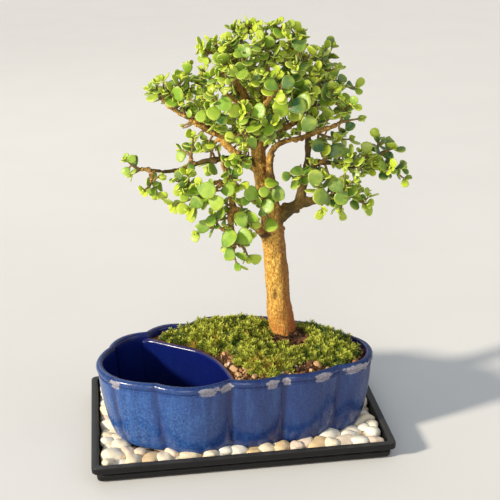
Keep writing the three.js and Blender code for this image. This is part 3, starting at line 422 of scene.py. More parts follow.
def at_height(places, height=0.0):
    """Flat places lifted to a height, or each to its own."""
    return np.column_stack([places, np.broadcast_to(height, len(places))])


def ground_lumps(places, size, seed):
    return lumps(at_height(places), size, seed)


def on_circle(angle):
    return np.column_stack([np.cos(angle), np.sin(angle)])


def smooth_step(low, high, value):
    t = np.clip((np.asarray(value, float) - low) / (high - low), 0, 1)
    return t * t * (3 - 2 * t)


def through_points(points, t):
    """Places on a smooth line through points, at parameters from 0 to 1."""
    points = np.asarray(points, float)
    ends = np.vstack([2 * points[0] - points[1], points, 2 * points[-1] - points[-2]])
    along = np.clip(np.asarray(t, float), 0, 1) * (len(points) - 1)
    i = np.minimum(along.astype(int), len(points) - 2)
    s = (along - i)[:, None]
    a, b, c, d = (ends[i + k] for k in range(4))
    curve = 2 * b + (c - a) * s + (2 * a - 5 * b + 4 * c - d) * s ** 2 + (3 * b - a - 3 * c + d) * s ** 3
    return 0.5 * curve


def bezier(a, b, c, t):
    t = np.asarray(t, float)[:, None]
    return (1 - t) ** 2 * a + 2 * t * (1 - t) * b + t ** 2 * c


# ---------------------------------------------------------------- meshes

class Shape:
    """Points, faces and painted values gathered for one piece, in millimetres."""

    def __init__(self):
        self.points = []
        self.faces = []
        self.slots = []
        self.paint = {}
        self.count = 0

    def add(self, points, faces, slot=0, **paint):
        points = np.asarray(points, float)
        for group in faces:
            group = np.asarray(group, np.int64)
            if len(group):
                self.faces.append(group + self.count)
                self.slots.append(np.full(len(group), slot))
        for name in set(self.paint) | set(paint):
            value = np.broadcast_to(np.asarray(paint.get(name, 0.0), float), len(points))
            self.paint.setdefault(name, [np.zeros(self.count)]).append(value)
        self.points.append(points)
        self.count += len(points)

    def piece(self, name, sharp=None):
        mesh = bpy.data.meshes.new(name)
        points = np.vstack(self.points) * MM
        corners = np.concatenate([group.ravel() for group in self.faces])
        sizes = np.concatenate([np.full(len(group), group.shape[1]) for group in self.faces])
        mesh.vertices.add(len(points))
        mesh.vertices.foreach_set("co", points.astype(np.float32).ravel())
        mesh.loops.add(len(corners))
        mesh.loops.foreach_set("vertex_index", corners.astype(np.int32))
        mesh.polygons.add(len(sizes))
        starts = np.concatenate([[0], np.cumsum(sizes)[:-1]])
        mesh.polygons.foreach_set("loop_start", starts.astype(np.int32))
        mesh.polygons.foreach_set("material_index", np.concatenate(self.slots).astype(np.int32))
        mesh.update(calc_edges=True)
        mesh.validate()
        mesh.shade_smooth()
        if sharp:
            mesh.set_sharp_from_angle(angle=math.radians(sharp))
        for label, values in self.paint.items():
            layer = mesh.attributes.new(label, "FLOAT", "POINT")
            layer.data.foreach_set("value", np.concatenate(values).astype(np.float32))
        piece = bpy.data.objects.new(name, mesh)
        bpy.context.scene.collection.objects.link(piece)
        return piece


def grid_faces(rows, columns, closed=False):
    """Quads over a grid of rows and columns, joined round if closed."""
    across = columns if closed else columns - 1
    r, c = np.meshgrid(np.arange(rows - 1), np.arange(across), indexing="ij")
    a = (r * columns + c).ravel()
    b = (r * columns + (c + 1) % columns).ravel()
    return np.stack([a, b, b + columns, a + columns], axis=1)


def fan_faces(ring, middle, flip=False):
    ring = np.asarray(ring)
    other = np.roll(ring, -1)
    order = (other, ring) if flip else (ring, other)
    return np.stack([*order, np.full(len(ring), middle)], axis=1)


def capped_faces(rows, columns):
    """Quads round closed rings, and fans to a middle point for each end, kept after the rings."""
    ring = np.arange(columns)
    return [
        grid_faces(rows, columns, closed=True),
        fan_faces(ring, rows * columns, flip=True),
        fan_faces((rows - 1) * columns + ring, rows * columns + 1)]


def tube(line, radii, sides):
    """Points and faces of a round stem along a line, with a frame that doesn't twist."""
    tangents = unit(np.gradient(line, axis=0))
    normal = np.array([0.31, 0.93, 0.2])
    turn = on_circle(2 * np.pi * np.arange(sides) / sides)
    rings = []
    for centre, tangent, radius in zip(line, tangents, radii):
        normal = unit(normal - tangent * normal.dot(tangent))
        rings.append(centre + radius * (turn @ [normal, np.cross(tangent, normal)]))
    first = line[0] - tangents[0] * radii[0] * 0.4
    last = line[-1] + tangents[-1] * radii[-1] * 0.5
    return np.vstack([*rings, first, last]), capped_faces(len(line), sides)


def ball(level):
    """Points and faces of an even ball of radius 1."""
    scratch = bpy.data.meshes.new("ball")
    build = bmesh.new()
    bmesh.ops.create_icosphere(build, subdivisions=level, radius=1.0)
    build.to_mesh(scratch)
    build.free()
    points = np.array([v.co for v in scratch.vertices])
    faces = np.array([p.vertices for p in scratch.polygons])
    bpy.data.meshes.remove(scratch)
    return points, faces


def grid_places(low, high, spacing):
    """Places on a grid between two corners, row by row, and how many are in a row."""
    xs, ys = (np.arange(start, end, spacing) for start, end in zip(low, high))
    x, y = np.meshgrid(xs, ys)
    return np.column_stack([x.ravel(), y.ravel()]), len(xs)


def camera_axes():
    """The camera's right, up and ahead."""
    down, turn, roll = np.radians((CAMERA_DOWN, CAMERA_TURN, CAMERA_ROLL))
    ahead = np.array([np.sin(turn) * np.cos(down), np.cos(turn) * np.cos(down), -np.sin(down)])
    level = np.array([np.cos(turn), -np.sin(turn), 0.0])
    above = np.cross(level, ahead)
    return level * np.cos(roll) + above * np.sin(roll), above * np.cos(roll) - level * np.sin(roll), ahead


def view_ray(across, down):
    """The way from the camera to a point of its view."""
    right, up, ahead = camera_axes()
    half = VIEW_SIZE / 2
    return unit(ahead * LENS / SENSOR * VIEW_SIZE + right * (across - half) - up * (down - half))


def place_in_view(across, down, y):
    """The place in millimetres that is at a point of the camera's view and at a distance y."""
    ray = view_ray(across, down)
    return EYE + ray * (y - EYE[1]) / ray[1]


def settle_in(piece, finishes, slot_name, *nodes):
    """Gives a finished piece its materials and its body, and hides the nodes it stands for; slot_name is not
    used.
    """
    for finish in finishes:
        piece.data.materials.append(finish.material)
    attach(piece, BODY)
    if nodes:
        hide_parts(*nodes)


# ---------------------------------------------------------------- materials

class Finish:
    """A material put together from nodes."""

    def __init__(self, name, **shader):
        self.material = bpy.data.materials.new(name)
        self.material.use_nodes = True
        self.tree = self.material.node_tree
        self.shader = self.tree.nodes["Principled BSDF"]
        self.set(**shader)
        self.place = self.node("ShaderNodeTexCoord").outputs["Object"]

    def set(self, **shader):
        for key, value in shader.items():
            self.put(self.shader.inputs[key.replace("_", " ")], value)

    def put(self, socket, value):
        if isinstance(value, bpy.types.NodeSocket):
            self.tree.links.new(value, socket)
        elif socket.type == "RGBA" and len(value) == 3:
            socket.default_value = (*value, 1.0)
        else:
            socket.default_value = value

    def node(self, kind, inputs=None, **settings):
        node = self.tree.nodes.new(kind)
        for key, value in settings.items():
            setattr(node, key, value)
        for key, value in (inputs or {}).items():
            self.put(node.inputs[key], value)
        return node

    def noise(self, size, detail=3.0, roughness=0.55, distortion=0.0, place=None):
        """Noise with features of a size in millimetres."""
        return self.node("ShaderNodeTexNoise", {
            "Vector": place or self.place, "Scale": 1 / (size * MM), "Detail": detail,
            "Roughness": roughness, "Distortion": distortion}).outputs["Fac"]

    def cells(self, size, place=None):
        """Distance from the middles of cells of a size in millimetres."""
        inputs = {"Vector": place or self.place, "Scale": 1 / (size * MM)}
        return self.node("ShaderNodeTexVoronoi", inputs, feature="F1").outputs["Distance"]

    def painted(self, *names):
        """Values painted on the shape's points."""
        return [self.node("ShaderNodeAttribute", attribute_name=name).outputs["Fac"] for name in names]

    def ramp(self, value, low, high, to_low=0.0, to_high=1.0):
        return self.node("ShaderNodeMapRange", {
            "Value": value, "From Min": low, "From Max": high, "To Min": to_low, "To Max": to_high,
        }, interpolation_type="SMOOTHSTEP").outputs["Result"]

    def math(self, operation, first, *others):
        for other in others:
            first = self.node("ShaderNodeMath", {0: first, 1: other}, operation=operation).outputs[0]
        return first

    def times(self, *values):
        return self.math("MULTIPLY", *values)

    def plus(self, *values):
        return self.math("ADD", *values)

    def swing(self, value, reach):
        """Noise shifted to swing about zero, by a reach in all."""
        return self.times(self.math("SUBTRACT", value, 0.5), reach)

    def mix(self, share, under, over):
        node = self.node("ShaderNodeMix", data_type="RGBA")
        for key, value in ((0, share), (6, under), (7, over)):
            self.put(node.inputs[key], value)
        return node.outputs[2]

    def coats(self, base, *coats):
        """Lays colours over a first one in turn, each with its share, and gives them to the surface."""
        for share, tint in coats:
            base = self.mix(share, base, tint)
        self.set(Base_Color=base)

    def stretch(self, x, y, z):
        return self.node("ShaderNodeMapping", {"Vector": self.place, "Scale": (x, y, z)}).outputs["Vector"]

    def bump(self, height, depth, strength=1.0):
        """Relief of a depth in millimetres."""
        inputs = {"Height": height, "Distance": depth * MM, "Strength": strength}
        self.set(Normal=self.node("ShaderNodeBump", inputs).outputs["Normal"])


# ---------------------------------------------------------------- settings

def colour(name, description, default):
    return bpy.props.FloatVectorProperty(
        name=name, description=description, default=default, subtype="COLOR", size=3, min=0.0, max=1.0)


def length(name, description, default_mm):
    return bpy.props.FloatProperty(
        name=name, description=description, default=default_mm * MM, min=0.0,
        subtype="DISTANCE", unit="LENGTH")


class TraySettings(bpy.types.PropertyGroup):
    plastic: colour("Plastic", "Colour of the moulded plastic", (0.005, 0.005, 0.005))
    dust_and_top_light: colour("Dust", "Colour of the dust on its upper faces", (0.16, 0.155, 0.15))


class PebbleSettings(bpy.types.PropertyGroup):
    white: colour("White", "Colour of the white stones", (0.87, 0.83, 0.73))
    cream: colour("Cream", "Colour of the cream stones", (0.84, 0.71, 0.49))
    honey: colour("Honey", "Colour of the few yellow stones", (0.74, 0.52, 0.24))
    rose: colour("Rose", "Colour of the pinkish stones", (0.76, 0.58, 0.47))
    smallest: length("Smallest", "Smallest half-length of a stone", 5.2)
    largest: length("Largest", "Largest half-length of a stone", 10.6)


class PotSettings(bpy.types.PropertyGroup):
    deep: colour("Deep blue", "Glaze where it lies thick", (0.005, 0.014, 0.085))
    middle: colour("Blue", "Glaze over most of the wall", (0.010, 0.036, 0.165))
    pale: colour("Pale blue", "Specks where the glaze breaks", (0.095, 0.25, 0.52))
    inside: colour("Inside", "Glaze inside the water compartment", (0.003, 0.007, 0.10))
    clay: colour("Clay", "Body colour where the glaze runs thin", (0.16, 0.075, 0.035))
    wear_and_reflection: colour("Worn", "Colour of the worn places under the lip", (0.40, 0.37, 0.39))


class SoilSettings(bpy.types.PropertyGroup):
    loam: colour("Loam", "Colour of the fine soil", (0.045, 0.024, 0.013))
    grit: colour("Grit", "Colour of the tan grit", (0.40, 0.19, 0.08))
    grains: bpy.props.IntProperty(name="Grains", description="Grains of grit on the soil", default=760, min=0)


class MossSettings(bpy.types.PropertyGroup):
    tip: colour("Tips", "Colour of the young tips", (0.93, 0.88, 0.17))
    body: colour("Body", "Colour of the older fronds", (0.30, 0.36, 0.025))
    base: colour("Base", "Colour deep between the fronds", (0.02, 0.022, 0.006))
    frond: length("Frond", "Length of a frond's leaflets", 4.7)
    spacing: length("Spacing", "Room that each frond takes", 1.72)


class WoodSettings(bpy.types.PropertyGroup):
    gold: colour("Golden bark", "Colour of the trunk's bark", (0.64, 0.35, 0.058))
    brown: colour("Brown bark", "Colour of the bark's patches", (0.38, 0.175, 0.032))
    dark: colour("Dark bark", "Colour in the cracks and on old twigs", (0.075, 0.038, 0.018))
    red: colour("Red bark", "Colour low on the trunk", (0.50, 0.125, 0.03))
    branch_shade: colour("Olive bark", "Colour of the darker branches", (0.055, 0.042, 0.013))
    grain: length("Grain", "Size of the cells that the bark is remade from", 1.0)


class LeafSettings(bpy.types.PropertyGroup):
    bright: colour("Bright", "Colour of the youngest leaves", (0.53, 0.63, 0.042))
    green: colour("Green", "Colour of full-grown leaves", (0.21, 0.38, 0.03))
    deep: colour("Deep", "Colour of old leaves", (0.02, 0.10, 0.026))
    rim: colour("Rim", "Colour of the leaf's edge", (0.70, 0.68, 0.20))
    stem: colour("Stem", "Colour of the soft stems", (0.26, 0.20, 0.05))
    thickness: length("Thickness", "Thickness of a full-grown leaf", 1.6)
    width: bpy.props.FloatProperty(
        name="Width", description="Leaf width as a share of its length", subtype="FACTOR",
        default=0.9, min=0.3, max=1.2)


class StageSettings(bpy.types.PropertyGroup):
    floor: colour("Floor", "Colour of the floor", (0.79, 0.785, 0.775))
    key_power: bpy.props.FloatProperty(
        name="Key light", description="Strength of the low warm light", default=4.3, min=0.0)
    front_power: bpy.props.FloatProperty(
        name="Front light", description="Strength of the soft light from the front", default=0.85, min=0.0)
    fill_power: bpy.props.FloatProperty(
        name="Fill light", description="Power of the soft light opposite", default=3.0, min=0.0, unit="POWER")
    sky: bpy.props.FloatProperty(
        name="Sky", description="Strength of the even light from all round", default=0.42, min=0.0)


SETTINGS = {
    "bonsai_tray": TraySettings, "bonsai_pebbles": PebbleSettings, "bonsai_pot": PotSettings,
    "bonsai_soil": SoilSettings, "bonsai_moss": MossSettings, "bonsai_wood": WoodSettings,
    "bonsai_leaves": LeafSettings, "bonsai_stage": StageSettings,
}


# ---------------------------------------------------------------- tray

def tray_ring(inset, z, arc=8, along=10):
    """The tray's outline drawn in, with points round its corners and along its sides."""
    corner = max(TRAY_CORNER - inset * 0.4, 1.5)
    half = TRAY_HALF - inset - corner
    arcs = []
    for quarter, signs in enumerate(((1, 1), (-1, 1), (-1, -1), (1, -1))):
        angle = (quarter + np.arange(arc) / (arc - 1)) * np.pi / 2
        arcs.append(signs * half + corner * on_circle(angle))
    s = (np.arange(1, along) / along)[:, None]
    placed = [np.vstack([a, a[-1] * (1 - s) + b[0] * s]) for a, b in zip(arcs, arcs[1:] + arcs[:1])]
    return at_height(np.vstack(placed), z)


def build_tray(settings):
    rings = [tray_ring(inset, z) for inset, z in TRAY_SECTION]
    points = np.vstack(rings)
    points[:, 2] += TRAY_BOW * (lumps(points * (1, 1, 0), 90, 5) - 1) * smooth_step(10, 18, points[:, 2])
    middles = [[0, 0, TRAY_SECTION[end][1]] for end in (0, -1)]
    shape = Shape()
    shape.add(np.vstack([points, middles]), capped_faces(len(rings), len(rings[0])))
    tray = shape.piece("humidity_tray_shell", sharp=38)
    plastic = Finish("tray_plastic", Specular_IOR_Level=0.28)
    facing = plastic.node("ShaderNodeNewGeometry").outputs["Normal"]
    level = plastic.node("ShaderNodeSeparateXYZ", {"Vector": facing}).outputs["Z"]
    cloud = plastic.noise(9, 5)
    # Upper faces painted lighter: partly dust, partly painted light falling on the top.
    dust_and_top_light_mask = plastic.times(plastic.ramp(level, 0.3, 0.95), plastic.ramp(cloud, 0.25, 0.75, 0.35, 0.8), 0.4)
    plastic.coats(
        settings.plastic,
        (dust_and_top_light_mask, settings.dust_and_top_light),
        (plastic.ramp(plastic.noise(0.9, 2), 0.64, 0.78, 0, 0.14), settings.dust_and_top_light))
    plastic.set(Roughness=plastic.ramp(cloud, 0.3, 0.7, 0.34, 0.52))
    plastic.bump(plastic.noise(0.5, 2), 0.06)
    settle_in(tray, [plastic], "tray", "humidity_tray")


# ---------------------------------------------------------------- pot

def rim_outline(steps):
    """The lobed outline as points, and how far each is from a cusp (0) to a lobe's crown (1)."""
    cusps = np.array(RIM_CUSPS, float)
    s = np.arange(steps)[:, None] / steps
    swell = 4 * s * (1 - s)
    places = []
    for (*start, bulge), end in zip(cusps, np.roll(cusps, -1, 0)[:, :2]):
        along = end - start
        outward = np.array([along[1], -along[0]]) / np.linalg.norm(along)
        places.append(start + along * s + outward * bulge * swell)
    return np.vstack(places), np.tile(swell[:, 0], len(cusps))


def soften(outline, passes):
    for _ in range(passes):
        outline = 0.5 * outline + 0.25 * (np.roll(outline, 1, 0) + np.roll(outline, -1, 0))
    return outline


def pot_ring(outline, ends, sides, z, crease=0.0):
    """The rim's outline drawn in, and creased at the cusps where a crease is given for each point."""
    flat = POT_MIDDLE + (outline - POT_MIDDLE) * (1 - np.array([ends, sides]) / POT_HALF)
    inward = unit(POT_MIDDLE - flat)
    return at_height(flat + inward * np.broadcast_to(crease, len(flat))[:, None], z)


def wall_inset(up):
    """Inset at the ends and along the sides at heights over the foot, rounded between the stations."""
    stations = np.array(WALL_SECTION, float)
    fine = np.linspace(0, 72, 289)
    margin = 14
    kernel = np.hanning(2 * margin + 1)
    kernel /= kernel.sum()
    found = []
    for column in (1, 2):
        raw = np.interp(fine, stations[:, 0], stations[:, column])
        padded = np.concatenate([2 * raw[0] - raw[margin:0:-1], raw, np.full(margin, raw[-1])])
        found.append(np.interp(up, fine, np.convolve(padded, kernel, "valid")))
    return found


def divider_points(t):
    """Places on the divider's line and the direction across it."""
    ahead, behind = (through_points(DIVIDER_LINE, np.clip(t + step, 0, 1)) for step in (0.002, -0.002))
    along = unit(ahead - behind)
    return through_points(DIVIDER_LINE, t), np.column_stack([-along[:, 1], along[:, 0]])


def inside_outline(points, polygon):
    """Which points are inside a closed outline."""
    x, y = points.T
    inside = np.zeros(len(points), bool)
    for (x0, y0), (x1, y1) in zip(polygon, np.roll(polygon, -1, 0)):
        if y1 != y0:
            inside ^= ((y0 > y) != (y1 > y)) & (x < (x1 - x0) * (y - y0) / (y1 - y0) + x0)
    return inside


def edge_distance(points, polygon):
    """How far points are from a closed outline's edge."""
    nearest = np.full(len(points), 1e9)
    for a, b in zip(polygon, np.roll(polygon, -1, 0)):
        along = b - a
        t = np.clip(((points - a) @ along) / max(along @ along, 1e-9), 0, 1)
        nearest = np.minimum(nearest, np.linalg.norm(points - (a + t[:, None] * along), axis=1))
    return nearest


def add_pot_body(shape, outline, crowns):
    """The pot from under its foot, up the wall, over the lip and down inside, with its two floors."""
    count = len(outline)
    rings, inner, thin = [], [], []

    def ring(ends, sides, z, inside, wear_and_reflection, crease=0.0):
        rings.append(pot_ring(outline, ends, sides, z, crease * np.exp(-(crowns / 0.16) ** 2)))
        inner.append(inside)
        thin.append(wear_and_reflection)

    foot_ends, foot_sides = WALL_SECTION[0][1:]
    for inset, up, wear_and_reflection in FOOT_RINGS:
        ring(foot_ends + inset, foot_sides + inset, POT_BASE + up, 0, wear_and_reflection)
    for up in np.linspace(1.2, 62.5, 44):
        wear_and_reflection = 0.75 * (1 - smooth_step(0.6, 2.6, up))
        ring(*wall_inset(up), POT_BASE + up, 0, wear_and_reflection, WALL_CREASE * smooth_step(0, 12, up))
    for inset, z in LIP_SECTION:
        wear_and_reflection = smooth_step(85.6, 86.7, z) * (0.35 + 0.65 * smooth_step(2.6, 4.6, inset))
        ring(inset, inset, z, smooth_step(3.6, 5.8, inset), wear_and_reflection, WALL_CREASE * 0.6)
    for up in np.linspace(64, 16, 30):
        ends, sides = wall_inset(up)
        ring(ends + POT_WALL + 0.4, sides + POT_WALL + 0.4, POT_BASE + up, 1, 0, 1.4)
    for ends, sides, z in FLOOR_RINGS:
        ring(ends, sides, z, 1, 0)

    points = np.vstack(rings)
    turn = 2 * np.pi * np.tile(np.arange(count) / count, len(rings))
    points[:, 2] += 0.35 * lumps(at_height(on_circle(turn)), 0.45, 3) * smooth_step(70, POT_RIM, points[:, 2])
    inner = np.repeat(inner, count)
    up = points[:, 2]
    under_lip = smooth_step(76.0, 77.6, up) * (1 - smooth_step(84.4, 86.0, up)) * (1 - inner)
    # Pale patches under the lip along the front: painted reflections in the glaze.
    wear_and_reflection = np.max([1 - np.abs(points[:, 0] - x) / (1.6 * half) for x, half in LIP_REFLECTIONS], axis=0)
    shape.add(
        points, [grid_faces(len(rings), count, closed=True)],
        inside=inner, thin=np.repeat(thin, count), crown=np.tile(crowns, len(rings)),
        lip=np.clip(wear_and_reflection, 0, 1) * under_lip * (points[:, 1] < -20))

    # Floor and underside, each with the drain holes left open, and the holes' walls.
    turn = on_circle(-2 * np.pi * np.arange(DRAIN_SIDES) / DRAIN_SIDES)
    holes = [centre + DRAIN_RADIUS * turn for centre in np.array(DRAIN_HOLES)]
    for z, border, up, inside in ((FLOOR_TOP, rings[-1], True, 1), (UNDERSIDE, rings[0], False, 0)):
        loops = [border[:, :2], *holes]
        flat = np.vstack(loops)
        triangles = np.array(tessellate_polygon([[Vector((*p, 0)) for p in loop] for loop in loops]))
        a, b, c = (flat[triangles[:, k]] for k in range(3))
        area = (b[:, 0] - a[:, 0]) * (c[:, 1] - a[:, 1]) - (b[:, 1] - a[:, 1]) * (c[:, 0] - a[:, 0])
        turned = (area > 0) != up
        triangles[turned] = triangles[turned][:, ::-1]
        shape.add(at_height(flat, z), [triangles], inside=inside, thin=1 - inside)
    for hole in holes:
        walls = np.vstack([at_height(hole, z) for z in (UNDERSIDE, FLOOR_TOP)])
        shape.add(walls, [grid_faces(2, DRAIN_SIDES, closed=True)[:, ::-1]], thin=1.0)


def add_divider(shape, outline):
    """The curved wall between water and soil, from the floor up to its rounded top."""
    columns = 72
    half = DIVIDER_THICKNESS / 2
    levels = np.linspace(23.5, DIVIDER_TOP - half, 24)
    cap = np.linspace(0, np.pi, 9)[1:-1]
    sections = [(z, half, 0.0) for z in levels]
    sections += [(DIVIDER_TOP - half + half * np.sin(a), half * np.cos(a), np.sin(a)) for a in cap]
    sections += [(z, -half, 0.0) for z in levels[::-1]]
    fine = np.linspace(0, 1, 400)
    line, _ = divider_points(fine)
    run = np.linspace(0, 1, columns) * DIVIDER_RUN
    fillet = 1.1 * np.exp(-run / 4) + 1.1 * np.exp((run - DIVIDER_RUN) / 4)
    rows, wear_and_reflection = [], []
    for z, offset, top in sections:
        ends, sides = wall_inset(min(z - POT_BASE, 64))
        middle = pot_ring(outline, ends + POT_WALL * 0.6, sides + POT_WALL * 0.6, z)[:, :2]
        within = fine[inside_outline(line, middle)]
        place, across = divider_points(np.linspace(within[0], within[-1], columns))
        flare = 1 + 0.5 * (1 - smooth_step(24, 29, z)) + fillet
        rows.append(at_height(place + across * (offset * flare)[:, None], z))
        wear_and_reflection.append(np.full(columns, top ** 2))
    points = np.vstack(rows)
    points[:, 2] += 0.5 * lumps(points * (1, 1, 0), 22, 8) * smooth_step(60, 81, points[:, 2])
    shape.add(points, [grid_faces(len(rows), columns)], inside=1.0, thin=np.concatenate(wear_and_reflection), crown=0.6)


def build_pot(settings):
    outline, crowns = rim_outline(26)
    outline = soften(outline, 2)
    shape = Shape()
    add_pot_body(shape, outline, crowns)
    add_divider(shape, outline)
    pot = shape.piece("glazed_pot", sharp=60)

    glaze = Finish("blue_glaze", IOR=1.5, Coat_Weight=0.12, Coat_Roughness=0.1, Coat_IOR=1.45)
    inside, thin, crown, lip = glaze.painted("inside", "thin", "crown", "lip")
    broad = glaze.noise(38, 3, 0.5)
    runs = glaze.noise(5.5, 4, 0.6, place=glaze.stretch(1, 1, 0.12))
    mottle = glaze.noise(2.3, 6, 0.72, 0.5)
    place = glaze.node("ShaderNodeSeparateXYZ", {"Vector": glaze.place}).outputs
    leftward = glaze.ramp(place["X"], 0.0, -0.085)
    lower = glaze.ramp(place["Z"], 0.084, 0.055, 0.45, 1.0)
    freckled = glaze.times(
        glaze.ramp(mottle, 0.42, 0.6), glaze.ramp(glaze.cells(1.5), 0.05, 0.6, 1.0, 0.25),
        glaze.plus(glaze.times(leftward, 0.72), 0.09), lower, glaze.ramp(crown, 0.0, 0.7, 0.4, 1.0))
    # The pale patches under the lip, given ragged edges: painted reflections.
    ragged = glaze.times(glaze.swing(glaze.noise(6.5, 4, 0.6), 1.9), glaze.ramp(lip, 0.0, 0.3))
    bare = glaze.times(
        glaze.ramp(glaze.plus(lip, ragged), 0.36, 0.46), glaze.ramp(mottle, 0.35, 0.6, 0.45, 0.8))
    edge = glaze.plus(thin, glaze.swing(glaze.noise(5, 4), 0.9))
    glaze.coats(
        settings.middle,
        (glaze.ramp(broad, 0.3, 0.7, 0.05, 0.45), settings.deep),
        (glaze.times(leftward, 0.4), SUNLIT_GLAZE),
        (glaze.ramp(runs, 0.4, 0.7, 0, 0.42), settings.deep),
        (glaze.ramp(runs, 0.48, 0.3, 0, 0.14), settings.pale),
        (glaze.ramp(glaze.noise(0.9, 3, 0.7), 0.52, 0.66, 0, 0.16), settings.pale),
        (freckled, settings.pale),
        # The cusps darkened: glaze pooled in the creases, and painted shade in them.
        (glaze.ramp(crown, 0.0, 0.36, 0.62, 0.0), settings.deep),
        (glaze.ramp(place["Z"], 0.077, 0.083, 0, 0.4), settings.deep),
        (glaze.times(inside, 0.94), settings.inside),
        (glaze.times(inside, glaze.ramp(crown, 0.02, 0.16, 0.85, 0.0)), SHADED_GLAZE),
        (bare, settings.wear_and_reflection),
        (glaze.ramp(edge, 0.72, 1.05, 0, 0.8), settings.clay))
    glaze.set(Roughness=glaze.plus(
        glaze.ramp(mottle, 0.3, 0.8, 0.2, 0.36), glaze.times(inside, -0.06), glaze.times(inside, thin, 0.3)))
    glaze.bump(glaze.plus(glaze.times(mottle, 0.35), glaze.noise(7, 2)), 0.4, 0.6)
    settle_in(pot, [glaze], "glaze", "land_water_pot")


def build_screens():
    screen = Finish("screen_plastic", Roughness=0.6)
    weave = screen.noise(1.2, 3)
    screen.coats(SCREEN_DARK, (weave, SCREEN_PALE))
    screen.bump(weave, 0.15)
    for name in ("drain_screen_left", "drain_screen_right"):
        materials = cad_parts[name].data.materials
        materials.clear()
        materials.append(screen.material)


# ---------------------------------------------------------------- pebbles

def nearest_on_outline(places, outline):
    """The nearest place on a closed outline to each place, and the way out of the outline there."""
    along = np.roll(outline, -1, 0) - outline
    t = np.clip(((places[:, None] - outline) * along).sum(2) / np.maximum((along ** 2).sum(1), 1e-9), 0, 1)
    near = outline + t[:, :, None] * along
    best = np.argmin(np.linalg.norm(places[:, None] - near, axis=2), axis=1)
    out = unit(np.column_stack([along[:, 1], -along[:, 0]]))
    return near[np.arange(len(places)), best], out[best]


def settle_stones(r, p, foot, under):
    """Lets stones of radii r drop from places p and push each other apart.

    Those under the pot stay there."""
    walls = np.array(BED_HALF)
    ceiling = np.where(under, POT_BASE, STONE_TOP) - r * STONE_FLATNESS
    for step in range(SETTLING_STEPS):
        p[:, 2] -= 0.25 if step < SETTLING_STEPS * 0.75 else 0.0
        gap = p[:, None, :] - p[None, :, :]
        gap[:, :, 2] /= STONE_FLATNESS
        distance = np.linalg.norm(gap, axis=2)
        np.fill_diagonal(distance, 1e9)
        lap = np.clip((r[:, None] + r[None, :]) * 0.94 - distance, 0, None)
        push = (gap / np.maximum(distance, 1e-6)[:, :, None]) * (0.42 * lap)[:, :, None]
        push[:, :, 2] *= STONE_FLATNESS
        p += np.clip(push.sum(1), -2.0, 2.0)
        near, out = nearest_on_outline(p[:, :2], foot)
        depth = ((near - p[:, :2]) * out).sum(1)
        shift = np.where(under, np.minimum(depth, 0), np.maximum(depth + 0.35 * r, 0))
        p[:, :2] += out * (0.6 * shift)[:, None]
        room = walls - 0.9 * r[:, None]
        p[:, :2] = np.clip(p[:, :2], -room, room)
        p[:, 2] = np.clip(p[:, 2], BED_FLOOR + r * STONE_FLATNESS, ceiling)
    return p


def build_pebbles(settings):
    chance = np.random.default_rng(41)
    small, large = settings.smallest / MM, settings.largest / MM
    outline, _ = rim_outline(6)
    foot = pot_ring(outline, 14.0, 9.5, 0)[:, :2]
    count = STONES_ROUND + STONES_UNDER
    places = np.zeros((0, 2))
    while len(places) < count:
        place = chance.uniform((-128, -84), (128, 84))[None, :]
        if inside_outline(place, foot)[0] == (len(places) >= STONES_ROUND):
            places = np.vstack([places, place])
    under = np.arange(count) >= STONES_ROUND
    radii = small + (large - small) * chance.random(count) ** 1.1
    radii[under] = chance.uniform(*UNDER_SIZES, under.sum())
    places = settle_stones(radii, at_height(places, chance.uniform(8, 16, count)), foot, under)
    coarse, fine = ball(3), ball(4)
    order = np.argsort(places[:, 1] + 3 * (radii < 7) * 100 + 1000 * under)
    finest = set(order[:STONES_FINE].tolist())
    lowest, highest = (-131.5, -86.5, BED_FLOOR + 0.05), (131.5, 86.5, 21.5)
    shape = Shape()
    for i in range(count):
        points, faces = fine if i in finest else coarse
        form = np.sign(points) * np.abs(points) ** chance.uniform(0.7, 0.98)
        form = form * (1 + 0.2 * lumps(form + 7 * i, 0.9, 11) + 0.07 * lumps(form - 5 * i, 0.4, 12))[:, None]
        form = form * radii[i] * chance.uniform((1.0, 0.82, 0.66), (1.22, 1.02, 0.82))
        spin = Matrix.Rotation(chance.uniform(0, math.tau), 3, "Z")
        tilt = spin @ Matrix.Rotation(chance.normal(0, 0.3), 3, "X")
        form = np.clip(form @ np.array(tilt).T + places[i], lowest, highest)
        shape.add(form, [faces], kind=chance.random(), tone=chance.random())
    stones = shape.piece("river_pebbles")
    stone = Finish(
        "tumbled_stone", Specular_IOR_Level=0.45, Subsurface_Weight=0.06,
        Subsurface_Radius=(0.002, 0.0015, 0.001))
    kind, tone = stone.painted("kind", "tone")
    veins = stone.noise(3.4, 5, 0.6, 1.2)
    stone.coats(
        settings.white,
        (stone.ramp(tone, 0.0, 1.0), settings.cream),
        (stone.ramp(kind, 0.74, 0.84, 0, 0.7), settings.rose),
        (stone.ramp(kind, 0.94, 0.96, 0, 0.8), settings.honey),
        (stone.ramp(veins, 0.45, 0.7, 0, 0.4), settings.cream),
        (stone.ramp(stone.noise(0.7, 2), 0.6, 0.8, 0, 0.3), settings.rose))
    stone.set(Roughness=stone.ramp(veins, 0.3, 0.7, 0.38, 0.6))
    stone.bump(stone.noise(0.8, 4, 0.6), 0.12)
    settle_in(stones, [stone], "pebble", "pebble_bed", "white_pebble")


# ---------------------------------------------------------------- soil and moss

